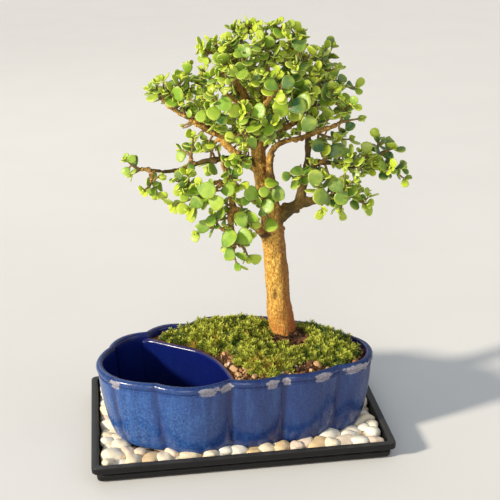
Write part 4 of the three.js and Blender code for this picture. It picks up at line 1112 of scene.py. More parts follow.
class Ground:
    """The planting side of the pot, as seen from above."""

    def __init__(self):
        outline, _ = rim_outline(12)
        self.rim = pot_ring(outline, POT_WALL + 0.8, POT_WALL + 0.8, 0)[:, :2]
        angle, reach = self.from_middle(self.rim)
        order = np.argsort(angle)
        self.angle = np.concatenate([angle[order] + turn for turn in (-math.tau, 0, math.tau)])
        self.reach = np.tile(reach[order], 3)
        line, across = divider_points(np.linspace(0, 1, 60))
        shifted = line + across * (DIVIDER_THICKNESS / 2)
        corners = [[shifted[-1, 0], -200], [200, -200], [200, 200], [shifted[0, 0], 200]]
        self.plot = np.vstack([shifted, corners])

    def from_middle(self, places):
        offset = places - SOIL_MIDDLE
        return np.arctan2(offset[:, 1], offset[:, 0]), np.linalg.norm(offset, axis=1)

    def height(self, places):
        angle, reach = self.from_middle(places)
        spread, share = np.array(SOIL_RISE).T
        rise = np.interp(reach / np.interp(angle, self.angle, self.reach), spread, share)
        slope = 0.06 + 0.94 * smooth_step(-2, 24, edge_distance(places, self.plot))
        return SOIL_EDGE + (SOIL_CROWN - SOIL_EDGE) * rise * slope

    def underside(self, places):
        """Height of the pot's inner wall, or of its floor, under each place."""
        up = np.linspace(64, 2, 63)
        inset = np.mean(wall_inset(up), axis=0)
        wall = POT_BASE + np.interp(edge_distance(places, self.rim), inset - inset[0], up)
        return np.maximum(wall, POT_FLOOR + 2.5) + 0.5

    def inside(self, places, margin=0.0):
        """Whether places are over soil, at least a margin from the wall and the divider."""
        over = inside_outline(places, self.rim) & inside_outline(places, self.plot)
        if margin > 0:
            over &= (edge_distance(places, self.rim) > margin) & (edge_distance(places, self.plot) > margin)
        return over

    def rough(self, places):
        rough = 0.55 * ground_lumps(places, 7, 21) + 0.4 * ground_lumps(places, 2.6, 22)
        return self.height(places) + 0.5 + rough


def sheet_over(shape, keep, height, spacing, underside=None, **paint):
    """A relief over the cells of a grid that are kept, closed by a skirt and an underside."""
    places, columns = grid_places((-90, -90), (130, 80), spacing)
    faces = grid_faces(len(places) // columns, columns)
    faces = faces[keep(places)[faces].all(axis=1)]
    corners, number = np.unique(faces, return_inverse=True)
    faces = number.reshape(faces.shape)
    top = places[corners]
    z = height(top)
    low = np.minimum(underside(top), z - 0.5) if underside else z - 6
    count = len(top)
    edges = np.concatenate([faces[:, [k, (k + 1) % 4]] for k in range(4)])
    _, index, uses = np.unique(np.sort(edges, axis=1), axis=0, return_index=True, return_counts=True)
    start, end = edges[index[uses == 1]].T
    skirt = np.column_stack([end, start, start + count, end + count])
    values = {name: np.tile(value(top), 2) if callable(value) else value for name, value in paint.items()}
    points = np.vstack([at_height(top, z), at_height(top, low)])
    shape.add(points, [faces, skirt, faces[:, ::-1] + count], **values)


def far_from_spots(places, spots):
    """How far outside the nearest of some round spots each place is."""
    return np.min([np.linalg.norm(places - (x, y), axis=1) - r for x, y, r in spots], axis=0)


def pad_depth(places, outline):
    """How deep inside a moss pad's ragged outline each place is, negative outside it."""
    depth = edge_distance(places, outline) * np.where(inside_outline(places, outline), 1, -1) + 2.0
    depth = np.minimum(depth, far_from_spots(places, BARE_SPOTS) + 1.0)
    return depth + 3.2 * ground_lumps(places, 7, 75) + 1.8 * ground_lumps(places, 3, 76)


def chip(grain, shift, seed, blunt, girth, turn, axis, lump=0.7):
    """A ball made lumpy, blunted towards a block, stretched and turned."""
    form = grain * (1 + 0.5 * lumps(grain + shift, lump, seed))[:, None]
    form = np.sign(form) * np.abs(form) ** blunt * girth
    return form @ np.array(Matrix.Rotation(turn, 3, axis)).T


def build_soil(settings):
    ground = Ground()
    chance = np.random.default_rng(52)

    def covered(places):
        beside_rim = (edge_distance(places, ground.rim) < 2.2) & inside_outline(places, ground.plot)
        beside_divider = (edge_distance(places, ground.plot) < 1.2) & inside_outline(places, ground.rim)
        return ground.inside(places) | beside_rim | beside_divider

    surface = Shape()
    sheet_over(surface, covered, ground.rough, 1.6, ground.underside)
    loam = Finish("bonsai_loam", Roughness=0.95, Specular_IOR_Level=0.2)
    crumbs = loam.cells(1.5)
    coarse = loam.noise(2.6, 6, 0.7)
    loam.coats(
        settings.loam,
        (loam.ramp(coarse, 0.46, 0.68), settings.grit),
        (loam.ramp(crumbs, 0.2, 0.75, 0.0, 0.75), settings.loam))
    loam.bump(loam.math("SUBTRACT", coarse, crumbs), 0.9)
    settle_in(surface.piece("soil_body"), [loam], "soil", "potting_soil")

    grit = Shape()
    grain, faces = ball(2)
    pads = [np.array(pad, float) for _, pad in MOSS_PADS.values()]
    tried = chance.uniform((-70, -84), (125, 62), (settings.grains * 9, 2))
    bare = ground.inside(tried, 0.6) & (far_from_spots(tried, BARE_SPOTS[:1]) > -1.5)
    bare &= np.max([pad_depth(tried, pad) for pad in pads], axis=0) < 1.5
    tried = tried[bare][:settings.grains]
    by_trunk = far_from_spots(tried, ((55, -4, 30),)) < 0
    for number, (place, z, shaded) in enumerate(zip(tried, ground.rough(tried), by_trunk)):
        size = 0.7 + 1.7 * chance.random() ** 2.4
        girth = size * chance.uniform(0.55, 1.15, 3)
        form = chip(grain, 3 * number, 31, 0.5, girth, chance.uniform(0, math.tau), chance.normal(size=3))
        kind = chance.random() * (0.42 if shaded else 1.0)
        tone = 1.0 if shaded else chance.random()
        grit.add(form + [*place, z + 0.3 * size], [faces], kind=kind, tone=tone)
    for x, y, size, kind in STONES_ON_SOIL:
        girth = size * np.array([1.0, 0.8, 0.7])
        form = chip(grain, size, 33, 0.42, girth, 0.5 + x, (0.4, 0.2, 1.0), 0.8)
        z = ground.rough(np.array([[x, y]], float))[0]
        grit.add(form + [x, y, z + 0.5 * size], [faces], kind=kind, tone=0.5)
    for _ in range(LITTER):
        way = chance.uniform(-math.pi, 0.5)
        beyond = 9.0 * chance.random() ** 1.6
        place = TRUNK_FOOT + (TRUNK_GIRTH + beyond) * on_circle([way])
        size = chance.uniform(0.8, 2.1)
        girth = size * np.array([1.5, 0.7, 0.6])
        form = chip(grain, 5 * way, 34, 1.0, girth, chance.uniform(0, math.tau), chance.normal(size=3))
        z = ground.rough(place)[0] + 0.3 * size + 2.6 * math.exp(-beyond / 2.5)
        kind, tone = 0.4 * chance.random() ** 0.7, 0.5 * chance.random()
        grit.add(form + [*place[0], z], [faces], kind=kind, tone=tone)
    chips = Finish("soil_grit", Roughness=0.9, Specular_IOR_Level=0.25)
    kind, tone = chips.painted("kind", "tone")
    chips.coats(
        settings.loam,
        (chips.ramp(kind, 0.3, 0.5), settings.grit),
        (chips.ramp(kind, 0.62, 0.72, 0, 0.9), TAN_GRIT),
        (chips.ramp(kind, 0.965, 0.975), WHITE_GRIT),
        (chips.ramp(tone, 0.3, 1.0, 0.0, 0.5), RUSTY_GRIT))
    chips.bump(chips.noise(0.4, 3), 0.2)
    settle_in(grit.piece("soil_grit", sharp=13), [chips], "soil")


def add_fronds(shape, heads, up, size, leaflet, whorls, spread, tones, patches, chance):
    """Stars of narrow leaflets round upright stalks, in whorls from the lowest to the tip."""
    aside = unit(np.cross(up, np.tile([0.3, 0.8, 0.1], (len(heads), 1))))
    other = np.cross(up, aside)
    spin = chance.uniform(0, math.tau, len(heads))
    leaves = whorls * 4
    for k in range(leaves):
        rise = k / leaves
        angle = (spin + math.tau * k * 0.382)[:, None]
        direction = unit((np.cos(angle) * aside + np.sin(angle) * other) * spread + (0.25 + 1.3 * rise) * up)
        long = (leaflet * size * chance.uniform(0.75, 1.2, len(heads)))[:, None]
        across = unit(np.cross(direction, up)) * long * 0.12
        start = heads + up * (rise - 1) * (0.8 * whorls * size)[:, None]
        middle = start + direction * 0.45 * long
        end = start + direction * long - up * 0.14 * long
        points = np.stack([start, middle + across, end, middle - across], axis=1).reshape(-1, 3)
        lift = np.tile([0.2, 0.6, 1.0, 0.6], len(heads)) * (0.55 + 0.45 * rise)
        shape.add(
            points, [np.arange(len(points)).reshape(-1, 4)],
            tone=np.repeat(tones, 4), lift=lift, patch=np.repeat(patches, 4))


def moss_patches(places):
    """How rusty (above 0) or how dark (below 0) the moss is, with painted shade towards both ends and behind
    the trunk.
    """
    x, y = places.T
    # Painted shade: darker behind the trunk and towards both ends.
    painted_shade = 0.8 * smooth_step(-12, 30, y) * smooth_step(30, 60, x)
    painted_shade += 0.9 * smooth_step(-36, -52, x) + 1.15 * smooth_step(68, 96, x)
    rusty = 0.9 * np.exp(-(np.linalg.norm(places - (-33, 10), axis=1) / 9) ** 2)
    return 0.8 * ground_lumps(places, 15, 73) + 0.6 * ground_lumps(places, 5, 74) - painted_shade + rusty


def build_moss(settings):
    ground = Ground()
    chance = np.random.default_rng(63)
    leaflet, spacing = settings.frond / MM, settings.spacing / MM
    moss = Finish(
        "living_moss", Roughness=0.7, Specular_IOR_Level=0.3, Subsurface_Weight=0.12,
        Subsurface_Radius=(0.0012, 0.002, 0.0006))
    tone, lift, patch = moss.painted("tone", "lift", "patch")
    moss.coats(
        settings.base,
        (moss.ramp(lift, 0.1, 0.5), settings.body),
        (moss.ramp(lift, 0.45, 1.0, 0, 0.95), settings.tip),
        (moss.ramp(tone, 0.42, 0.8, 0.0, 0.88), SHADED_MOSS),
        (moss.ramp(patch, 0.35, 0.85, 0, 0.7), RUSTY_MOSS),
        # Dark patches, at random and as painted shade.
        (moss.ramp(patch, -0.15, -0.7, 0, 0.75), DARK_AND_SHADED_MOSS))
    moss.bump(moss.noise(0.5, 3), 0.15)
    for name, (thick, pad) in MOSS_PADS.items():
        outline = np.array(pad, float)

        def top(places):
            depth = pad_depth(places, outline)
            low = 1 - 0.6 * smooth_step(34, 18, far_from_spots(places, LOW_MOSS))
            swell = thick * (1 - np.exp(-np.clip(depth, 0, None) / 6.5)) * low
            swell = swell * (0.15 + 0.85 * smooth_step(-60, -30, places[:, 0]))
            hummock = 2.8 * ground_lumps(places, 12, 71) + 2.0 * ground_lumps(places, 5, 72)
            return ground.height(places) + swell + hummock * smooth_step(0, 6, depth) * low

        def covered(places):
            return (pad_depth(places, outline) > 0) & ground.inside(places, 0.4)

        shape = Shape()
        sheet_over(shape, covered, lambda p: top(p) - 1.6, 1.5, tone=0.5, lift=0.1, patch=moss_patches)
        roots, _ = grid_places(outline.min(0) - 4, outline.max(0) + 4, spacing)
        roots = roots + chance.uniform(-0.55, 0.55, roots.shape) * spacing
        roots = roots[covered(roots)]
        count = len(roots)
        slope = np.column_stack([(top(roots + step) - top(roots - step)) / 2 for step in ((1, 0), (0, 1))])
        up = unit(np.column_stack([-slope, np.ones(count)]) + chance.normal(0, 0.42, (count, 3)))
        tall = np.clip(0.9 + 0.9 * ground_lumps(roots, 3.2, 77), 0.2, 2)
        size = chance.uniform(0.55, 1.2, count)
        heads = at_height(roots, top(roots)) + up * (chance.uniform(0.0, 2.6, count) * tall)[:, None]
        share = np.where(far_from_spots(roots, SPRIG_SPOTS) < 0, 0.42, 0.09)
        sprig = chance.random(count) < share
        tones = 0.35 * chance.random(count) + 0.65 * (0.5 + 0.62 * ground_lumps(roots, 4.0, 78))
        short = ~sprig
        add_fronds(
            shape, heads[short], up[short], size[short], leaflet, 3, 1.0, tones[short],
            moss_patches(roots[short]), chance)
        raised = heads[sprig] + up[sprig] * chance.uniform(2.0, 4.5, sprig.sum())[:, None]
        add_fronds(
            shape, raised, up[sprig], size[sprig], leaflet * 1.1, 5, 0.9,
            0.3 * chance.random(sprig.sum()), np.full(sprig.sum(), 0.15), chance)
        settle_in(shape.piece(name + "_cushion"), [moss], "moss", name)


# ---------------------------------------------------------------- wood

def leaf_scars(along, width):
    """Swellings of old leaf scars, one for each unit along a stem."""
    return np.exp(-((along % 1.0 - 0.5) / width) ** 2)


def branch_line(name):
    """Fine places along a branch and its radius at each, with the swellings of old leaf scars."""
    stations = np.array(BRANCHES[name], float)
    rough_length = np.linalg.norm(np.diff(stations[:, :3], axis=0), axis=1).sum()
    t = np.linspace(0, 1, max(int(rough_length / 1.6), 12))
    radius = np.interp(t * (len(stations) - 1), np.arange(len(stations)), stations[:, 3])
    along = t * rough_length
    scars = leaf_scars(along / 8.0 + 0.25 * np.sin(along * 0.5), 0.17) * (1 - smooth_step(4, 9, radius))
    slim = 1.0 if name in FULL_BRANCHES else SLIMMER
    return through_points(stations[:, :3], t), radius * slim * (1 + 0.2 * scars)


def spray_lines(branch, tips):
    """The twig that carries a spray, as a start, bend and fork, and its soft stems likewise."""
    tips = [np.array(tip, float) for tip in tips]
    aim = np.mean(tips, axis=0)
    stations = np.array(BRANCHES[branch], float)[:, :3]
    t = np.arange(6, 61) / 60
    at = t[np.argmin(np.linalg.norm(through_points(stations, t) - aim, axis=1))]
    behind, start, ahead = through_points(stations, [at - 0.004, at, min(at + 0.004, 1)])
    reach = np.linalg.norm(aim - start)
    fork = start + 0.5 * (aim - start)
    fork[2] -= 0.06 * reach
    bend = 0.5 * (start + fork) + unit(ahead - behind) * 0.18 * reach
    out = unit(fork - bend)
    stems = []
    for i, tip in enumerate(tips):
        control = fork + out * 0.15 * np.linalg.norm(tip - fork)
        control = control + (0.2 if i == 0 else 0.35) * (tip - control)
        stems.append((fork - out * 1.0, control, tip))
    return (start, bend, fork), stems


def relax(points, quads, passes, share):
    """Evens a mesh out a little, each point moving towards its neighbours."""
    edges = np.vstack([quads[:, [k, (k + 1) % 4]] for k in range(4)])
    start, end = np.unique(np.sort(edges, axis=1), axis=0).T
    count = np.bincount(start, minlength=len(points)) + np.bincount(end, minlength=len(points))
    for _ in range(passes):
        total = [
            np.bincount(start, column[end], len(points)) + np.bincount(end, column[start], len(points))
            for column in points.T]
        points = points + share * ((total / count).T - points)
    return points


def point_normals(points, quads):
    a, b, c, d = (points[quads[:, k]] for k in range(4))
    face = np.cross(c - a, d - b)
    normals = [
        sum(np.bincount(quads[:, k], face[:, axis], len(points)) for k in range(4)) for axis in range(3)]
    return unit(np.stack(normals, axis=1))


def grown_together(shape, cell):
    """One skin round overlapping solids, made again from cells of a size in millimetres."""
    rough = shape.piece("wood_rough")
    remesh = rough.modifiers.new("skin", "REMESH")
    remesh.mode = "VOXEL"
    remesh.voxel_size = cell * MM
    mesh = bpy.data.meshes.new_from_object(rough.evaluated_get(bpy.context.evaluated_depsgraph_get()))
    points = np.zeros(len(mesh.vertices) * 3)
    mesh.vertices.foreach_get("co", points)
    quads = np.zeros(len(mesh.loops), np.int32)
    mesh.loops.foreach_get("vertex_index", quads)
    bpy.data.objects.remove(rough)
    bpy.data.meshes.remove(mesh)
    return points.reshape(-1, 3) / MM, quads.reshape(-1, 4)


def nearest_girth(points):
    """Radius of the wood near each point, and whether it is a branch painted dark with shade."""
    found = np.full(len(points), 2.0)
    shaded = np.zeros(len(points))
    best = np.full(len(points), 1e9)
    for name in BRANCHES:
        line, radius = branch_line(name)
        for k in range(0, len(line), 3):
            distance = np.linalg.norm(points - line[k], axis=1) - radius[k]
            closer = distance < best
            best[closer] = distance[closer]
            found[closer] = radius[k]
            shaded[closer] = name in SHADED_BRANCHES
    return found, shaded


def add_knobs(solid, chance):
    """Lumps of healed cuts and old leaf scars that grow together with the wood."""
    points, faces = ball(2)
    for x, y, z, r in KNOBS:
        solid.add(points * (r, r, r * 0.8) + (x, y, z), [faces])
    for name in BRANCHES:
        if name == "trunk":
            continue
        line, radius = branch_line(name)
        for k in range(6, len(line) - 2, 4):
            if chance.random() < 0.3:
                continue
            ahead = unit(line[k + 1] - line[k - 1])
            out = unit(np.cross(ahead, chance.normal(size=3)))
            size = min(radius[k], 6.0) * chance.uniform(0.36, 0.7)
            solid.add(points * size + line[k] + out * (radius[k] + 0.1 * size), [faces])


def add_twig(shape, line, radius, scars, sides, **paint):
    """A woody twig whose leaf scars are pale."""
    points, faces = tube(line, radius, sides)
    shape.add(points, faces, relief=0.1, knob=np.append(np.repeat(scars, sides), (0, 0)), **paint)


def build_wood(settings):
    chance = np.random.default_rng(77)
    solid = Shape()
    for name in BRANCHES:
        solid.add(*tube(*branch_line(name), 20 if name == "trunk" else 12))
    add_knobs(solid, chance)
    points, quads = grown_together(solid, settings.grain / MM)
    points = relax(points, quads, 3, 0.5)
    normals = point_normals(points, quads)
    girth, shaded = nearest_girth(points)
    shaded = relax(shaded[:, None], quads, 4, 0.5)[:, 0]
    big = smooth_step(3, 10, girth)
    upright = points * (1, 1, 0.4)
    relief = 0.75 * big * lumps(upright, 6, 81) + (0.3 + 0.3 * big) * lumps(upright, 2.8, 82)
    relief += 0.24 * lumps(points, 1.7, 83) + 0.7 * big * lumps(points, 19, 84)
    relief -= 0.45 * big * (1 - smooth_step(0.0, 0.1, np.abs(lumps(points * (0.3, 0.3, 1), 3.4, 85))))
    points = points + normals * relief[:, None]
    low = 1 - smooth_step(90, 150, points[:, 2] - 0.8 * (points[:, 0] - 50))
    # Painted light: the side towards the low sun is lit, the far side painted darker, and the red at the foot
    # fainter on the lit side.
    sunny = smooth_step(-0.45, 0.35, normals @ unit(SUNNY_SIDE) + 0.22 * lumps(upright, 9, 87))
    # Painted shade under the left fork.
    away = (points - place_in_view(*FORK_SHADE)) * (0.6, 0.6, 1.3)
    shape = Shape()
    shape.add(
        points, [quads], young=1 - smooth_step(2.4, 6.5, girth), low=low * (1 - 0.25 * sunny), relief=relief,
        knob=smooth_step(0.1, 0.5, relief), shaded=shaded, sunny=sunny,
        scar=np.exp(-((away / 4.2) ** 2).sum(1)))
    t = np.linspace(0, 1, 44)
    for start, bend, end, girth in FRONT_TWIGS:
        line = bezier(np.array(start, float), place_in_view(*bend), place_in_view(*end), t)
        scars = leaf_scars(t * 9.0, 0.24)
        add_twig(shape, line, (girth - 0.7 * t) * (0.8 + 0.5 * scars), scars, 10, young=0.6, sunny=1.0)
    for branch, _, *tips in SPRAYS.values():
        (start, bend, fork), _ = spray_lines(branch, tips)
        reach = np.linalg.norm(fork - start)
        t = np.linspace(0, 1, max(int(reach / 1.3), 10))
        line = bezier(start, bend, fork, t)
        wander = np.column_stack([lumps(line + 9 * k, 5, 86) for k in range(3)])
        line = line + 0.9 * wander * np.sin(np.pi * t)[:, None]
        scars = leaf_scars(t * reach / 5.0 + chance.random(), 0.2)
        add_twig(shape, line, (2.1 - 0.6 * t) * (0.86 + 0.5 * scars), scars, 9, young=0.8, sunny=0.7)
    wood = shape.piece("grown_wood")
    bark = Finish("jade_bark", Roughness=0.72, Specular_IOR_Level=0.3)
    young, low, relief, knob, shaded, sunny, scar = bark.painted(
        "young", "low", "relief", "knob", "shaded", "sunny", "scar")
    fine = bark.noise(1.3, 4, 0.72, place=bark.stretch(1, 1, 0.42))
    strokes = bark.noise(2.6, 5, 0.7, 0.5, place=bark.stretch(1, 1, 0.25))
    flakes = bark.cells(2.4, place=bark.stretch(1, 1, 0.55))
    patches = bark.noise(12, 3, 0.5)
    bark.coats(
        settings.gold,
        (bark.ramp(strokes, 0.44, 0.66, 0, 0.75), settings.brown),
        (bark.ramp(patches, 0.5, 0.7, 0, 0.3), settings.brown),
        # Painted shade on the side away from the sun, and bright flecks painted mostly on the sunlit side.
        (bark.ramp(sunny, 0.85, 0.15, 0, 0.75), SHADED_BARK),
        (bark.times(bark.ramp(fine, 0.52, 0.6, 0, 0.8), bark.ramp(sunny, 0.1, 0.8, 0.3, 1.0)), BARK_FLECK),
        (bark.ramp(flakes, 0.6, 0.9, 0, 0.25), settings.brown),
        (bark.ramp(fine, 0.45, 0.37, 0, 0.85), BARK_PIT),
        (bark.ramp(strokes, 0.36, 0.3, 0, 0.7), settings.dark),
        (bark.times(low, bark.ramp(patches, 0.3, 0.6, 0.35, 0.85)), settings.red),
        (bark.times(young, bark.ramp(patches, 0.42, 0.66, 0.05, 0.75)), settings.dark),
        (bark.times(young, bark.ramp(knob, 0.35, 0.9, 0, 0.8)), SCAR_TAN),
        # Painted shade on the branches that stand in shade.
        (bark.times(shaded, bark.ramp(patches, 0.3, 0.65, 0.95, 0.7)), settings.branch_shade),
        (bark.ramp(relief, -0.55, -1.3, 0, 0.6), settings.dark),
        # Painted shade under the left fork.
        (bark.ramp(scar, 0.25, 0.7, 0, 0.9), settings.dark))
    bark.bump(bark.plus(bark.times(fine, 0.6), strokes), 1.3)
    settle_in(wood, [bark], "bark", "trunk_and_branches")


# ---------------------------------------------------------------- leaves

def leaf_form():
    """One leaf 1 long along x, 1 wide and 1 thick, its faces, and how near the edge each point is."""
    around = 12
    angle = math.tau * np.arange(around) / around
    x = 0.5 - 0.5 * np.cos(angle)
    blunt = (x ** 0.84) * ((1 - x) ** 0.46)
    y = np.sign(np.sin(angle)) * blunt / blunt.max() * 0.5
    middle = 0.58
    shares, heights = (0.8, 0.99, 0.99, 0.8), (0.42, 0.18, -0.18, -0.42)
    rings = [
        np.column_stack([middle + (x - middle) * share, y * share, np.full(around, height)])
        for share, height in zip(shares, heights)]
    points = np.vstack([*rings, [middle, 0, 0.45], [middle, 0, -0.45]])
    return points, capped_faces(len(shares), around), np.append(np.repeat(shares, around), (0, 0))


def view_of(place):
    """Where a place is across and down the camera's view."""
    right, up, ahead = camera_axes()
    offset = place - EYE
    reach = LENS / SENSOR * VIEW_SIZE / offset.dot(ahead)
    return np.array([VIEW_SIZE / 2 + reach * offset.dot(right), VIEW_SIZE / 2 - reach * offset.dot(up)])


def before_bare_wood(centre):
    """Whether a leaf here would hang in front of wood that stands bare."""
    seen = view_of(centre)
    for ax, ay, bx, by, half, *behind in BARE_WOOD:
        if behind and centre[1] > behind[0]:
            continue
        start, along = np.array([ax, ay]), np.array([bx - ax, by - ay])
        t = np.clip((seen - start).dot(along) / along.dot(along), 0, 1)
        if np.linalg.norm(seen - start - t * along) < half:
            return True
    return False


def on_path(at, walked, values):
    """Values kept for each place of a path, found at distances walked along it."""
    return np.stack([np.interp(at, walked, column) for column in values.T], axis=-1)


def nearest_root(stems, goal, start, steps, end=1.0):
    """The place on some stems that is nearest to a goal."""
    places = np.vstack([bezier(*line, np.linspace(start, end, steps)) for line in stems])
    return places[np.argmin(np.linalg.norm(places - goal, axis=1))]


class Shoots:
    """Stems and leaves gathered for one piece."""

    def __init__(self, settings, seed, kept_clear):
        self.shape = Shape()
        self.form = leaf_form()
        self.chance = np.random.default_rng(seed)
        self.thickness = settings.thickness / MM
        self.width = settings.width
        self.kept_clear = kept_clear

    def hides(self, centre, size):
        """Whether a leaf here would stand in front of a large leaf or run into it."""
        for goal, length in self.kept_clear:
            ray = unit(goal - EYE)
            offset = centre - goal
            aside = np.linalg.norm(offset - ray * offset.dot(ray))
            if aside < 0.42 * length + 0.25 * size and -40 < offset.dot(ray) < 3:
                return True
        return False

    def leaf(self, base, direction, face, size, narrow=1.0, age=0.5, large=False):
        chance = self.chance
        points, faces, edge = self.form
        centre = base + direction * 0.55 * size
        if not large and (self.hides(centre, size) or before_bare_wood(centre)):
            return
        x, y, z = points.T
        upper = unit(face - direction * face.dot(direction))
        across = np.cross(upper, direction)
        width = size * self.width * narrow * chance.uniform(0.82, 1.04)
        thickness = self.thickness * (0.75 + 0.012 * size)
        bend, cup = chance.uniform(-0.12, 0.05), chance.uniform(0.0, 0.1)
        rise = bend * x ** 2 + cup * (2 * y) ** 2
        y = y * (1 + 0.07 * np.sin(5 * x + chance.uniform(0, math.tau)))
        local = base + np.outer(x * size, direction) + np.outer(y * width, across)
        local = local + np.outer(z * thickness + rise * size, upper)
        drift = lumps(centre[None, :], 38, 91)[0]
        # Tone varies at random, and leaves further right are painted darker as shade.
        tone = 0.4 + 0.34 * drift + 0.26 * smooth_step(-10, 120, centre[0]) + chance.normal(0, 0.28)
        # Large leaves likewise painted darker towards the right, as shade.
        if large:
            tone = 0.1 + 0.75 * smooth_step(5, 75, centre[0]) + chance.normal(0, 0.15)
        self.shape.add(local, faces, 0, edge=edge, along=x, tone=np.clip(tone, 0, 1), age=age)

    def stalk(self, line, radii):
        self.shape.add(*tube(line, radii, 6), 1, edge=0.0, along=0.5, tone=self.chance.random(), age=0.5)

    def stem(self, line, leaf_length, first, spacing, scale=1.0, side_shoots=True):
        """A soft stem with pairs of opposite leaves, each pair a quarter turn from the last."""
        chance = self.chance
        path = bezier(*line, np.linspace(0, 1, 30))
        walked = np.concatenate([[0], np.cumsum(np.linalg.norm(np.diff(path, axis=0), axis=1))])
        total = walked[-1]
        tangents = unit(np.gradient(path, axis=0))
        at = np.linspace(0, total, max(int(total / 1.9), 5))
        pairs = max(int(round((total - first) / spacing)), 1)
        nodes = first + (total - first) * np.arange(pairs + 1) / pairs
        nodes[1:-1] += chance.uniform(-1.2, 1.2, len(nodes) - 2)
        radius = np.interp(at / total, [0, 1], [1.35 * scale, 0.7 * scale])
        swell = np.exp(-(np.abs(at[:, None] - nodes[None, :]).min(axis=1) / 1.3) ** 2)
        self.stalk(on_path(at, walked, path), radius * (1 + 0.35 * swell))
        normal = unit(np.cross(tangents[0], chance.normal(size=3)))
        quarter = chance.uniform(0, math.pi)
        for i, node in enumerate(nodes):
            share = node / total
            place = on_path(node, walked, path)
            tangent = unit(on_path(node, walked, tangents))
            normal = unit(normal - tangent * normal.dot(tangent))
            side = np.cross(tangent, normal)
            turn = quarter + i * math.pi / 2 + chance.normal(0, 0.2)
            outward = math.cos(turn) * normal + math.sin(turn) * side
            crossways = math.cos(turn) * side - math.sin(turn) * normal
            end = i == len(nodes) - 1
            for out in (outward, -outward):
                rise = 0.25 + 0.5 * share + chance.normal(0, 0.16) + (0.3 if end else 0)
                direction = unit(out + rise * tangent + (0, 0, 0.06))
                face = 0.55 * tangent + 0.95 * LEAF_UP + chance.normal(0, 0.42, 3)
                size = leaf_length * scale * (0.8 if end or i == 0 else 1.0) * chance.uniform(0.62, 1.14)
                age = np.clip(0.8 * share + chance.normal(0, 0.16), 0, 1)
                if end or chance.random() > 0.1:
                    self.leaf(place + out * 0.5, direction, face, size, age=age)
            if end:
                for out in (crossways, -crossways):
                    size = leaf_length * scale * chance.uniform(0.3, 0.48)
                    direction = unit(0.5 * out + tangent)
                    self.leaf(place + tangent * 0.8, direction, 0.3 * LIGHT - out, size, 0.8, 1.0)
            elif side_shoots and i > 0 and chance.random() < 0.66:
                self.short_shoot(place, unit(crossways + 0.6 * tangent + 0.35 * LIGHT), leaf_length)

    def short_shoot(self, start, aim, leaf_length):
        tip = start + aim * self.chance.uniform(6.5, 13)
        if not before_bare_wood(tip):
            middle = 0.5 * (start + tip) + self.chance.normal(0, 0.8, 3)
            self.stem((start, middle, tip), leaf_length, 3.4, 6.5, 0.82, False)

    def side_shoot(self, stems, tip, leaf_length):
        """A leafy shoot from the nearest stem to a place."""
        root = nearest_root(stems, tip, 0.15, 16, 0.9)
        reach = np.linalg.norm(tip - root)
        middle = 0.5 * (root + tip) + (0, 0, 0.12 * reach)
        self.stem((root, middle, tip), leaf_length, max(reach - 9.0, 2.5), 4.6, 0.82, False)

    def large_leaf(self, stems, centre, size):
        """A full-grown leaf that faces forward, on a stalk from the nearest stem."""
        root = nearest_root(stems, centre, 0.1, 24)
        face = unit(FORWARD + self.chance.normal(0, 0.27, 3))
        direction = unit(centre - root + (0, 0, 0.01))
        direction = unit(direction - 0.85 * face * direction.dot(face))
        base = centre - direction * 0.55 * size
        bend = 0.5 * (root + base) + (0, 0, 0.125 * np.linalg.norm(base - root))
        line = bezier(root, bend, base + direction * 0.06 * size, np.linspace(0, 1, 7))
        self.stalk(line, np.linspace(1.1, 0.8, 7))
        self.leaf(base, direction, face, size, 1.02, self.chance.uniform(0.15, 0.6), large=True)


def leaf_finishes(settings):
    leaf = Finish(
        "jade_leaf", Specular_IOR_Level=0.5, Subsurface_Weight=0.2, Subsurface_Scale=1.0,
        Subsurface_Radius=(0.0012, 0.0022, 0.0005))
    edge, tone, age, along = leaf.painted("edge", "tone", "age", "along")
    cloud = leaf.noise(6, 3, 0.5)
    leaf.coats(
        settings.green,
        (leaf.ramp(tone, 0.1, 0.95), settings.deep),
        # Darker by tone, partly painted shade on the right-hand leaves.
        (leaf.ramp(age, 0.3, 1.0, 0.0, 0.85), settings.bright),
        (leaf.ramp(cloud, 0.4, 0.7, 0, 0.22), settings.bright),
        (leaf.ramp(along, 0.45, 0.0, 0, 0.5), settings.deep),
        (leaf.ramp(along, 0.65, 1.0, 0, 0.4), settings.bright),
        # A pale edge: partly the leaf's own rim colour, partly a painted highlight.
        (leaf.ramp(edge, 0.92, 0.99, 0, 0.55), settings.rim))
    leaf.set(Roughness=leaf.ramp(cloud, 0.3, 0.7, 0.28, 0.46))
    leaf.bump(leaf.noise(2.2, 3), 0.22)
    stem = Finish("soft_stem", Roughness=0.6)
    stem.coats(settings.stem, (stem.ramp(stem.noise(2.6, 4), 0.4, 0.62), STEM_BAND))
    stem.bump(stem.noise(0.7, 3), 0.2)
    return [leaf, stem]


def cluster_tips(grown):
    """The places where side shoots end, for the spray that each grows from."""
    marks = [(name, place) for name, (_, stems) in grown.items() for line in stems
             for place in bezier(*line, np.linspace(0.2, 1, 12))]
    places = np.array([place for _, place in marks])
    clusters = {name: [] for name in grown}
    for across, down in LEAF_CLUSTERS:
        ray = view_ray(across, down)
        ahead = (places - EYE) @ ray
        aside = np.linalg.norm(places - EYE - ahead[:, None] * ray, axis=1)
        nearest = np.argmin(aside + 0.1 * (ahead - ahead.min()))
        clusters[marks[nearest][0]].append(EYE + ray * (ahead[nearest] - 6.0))
    return clusters


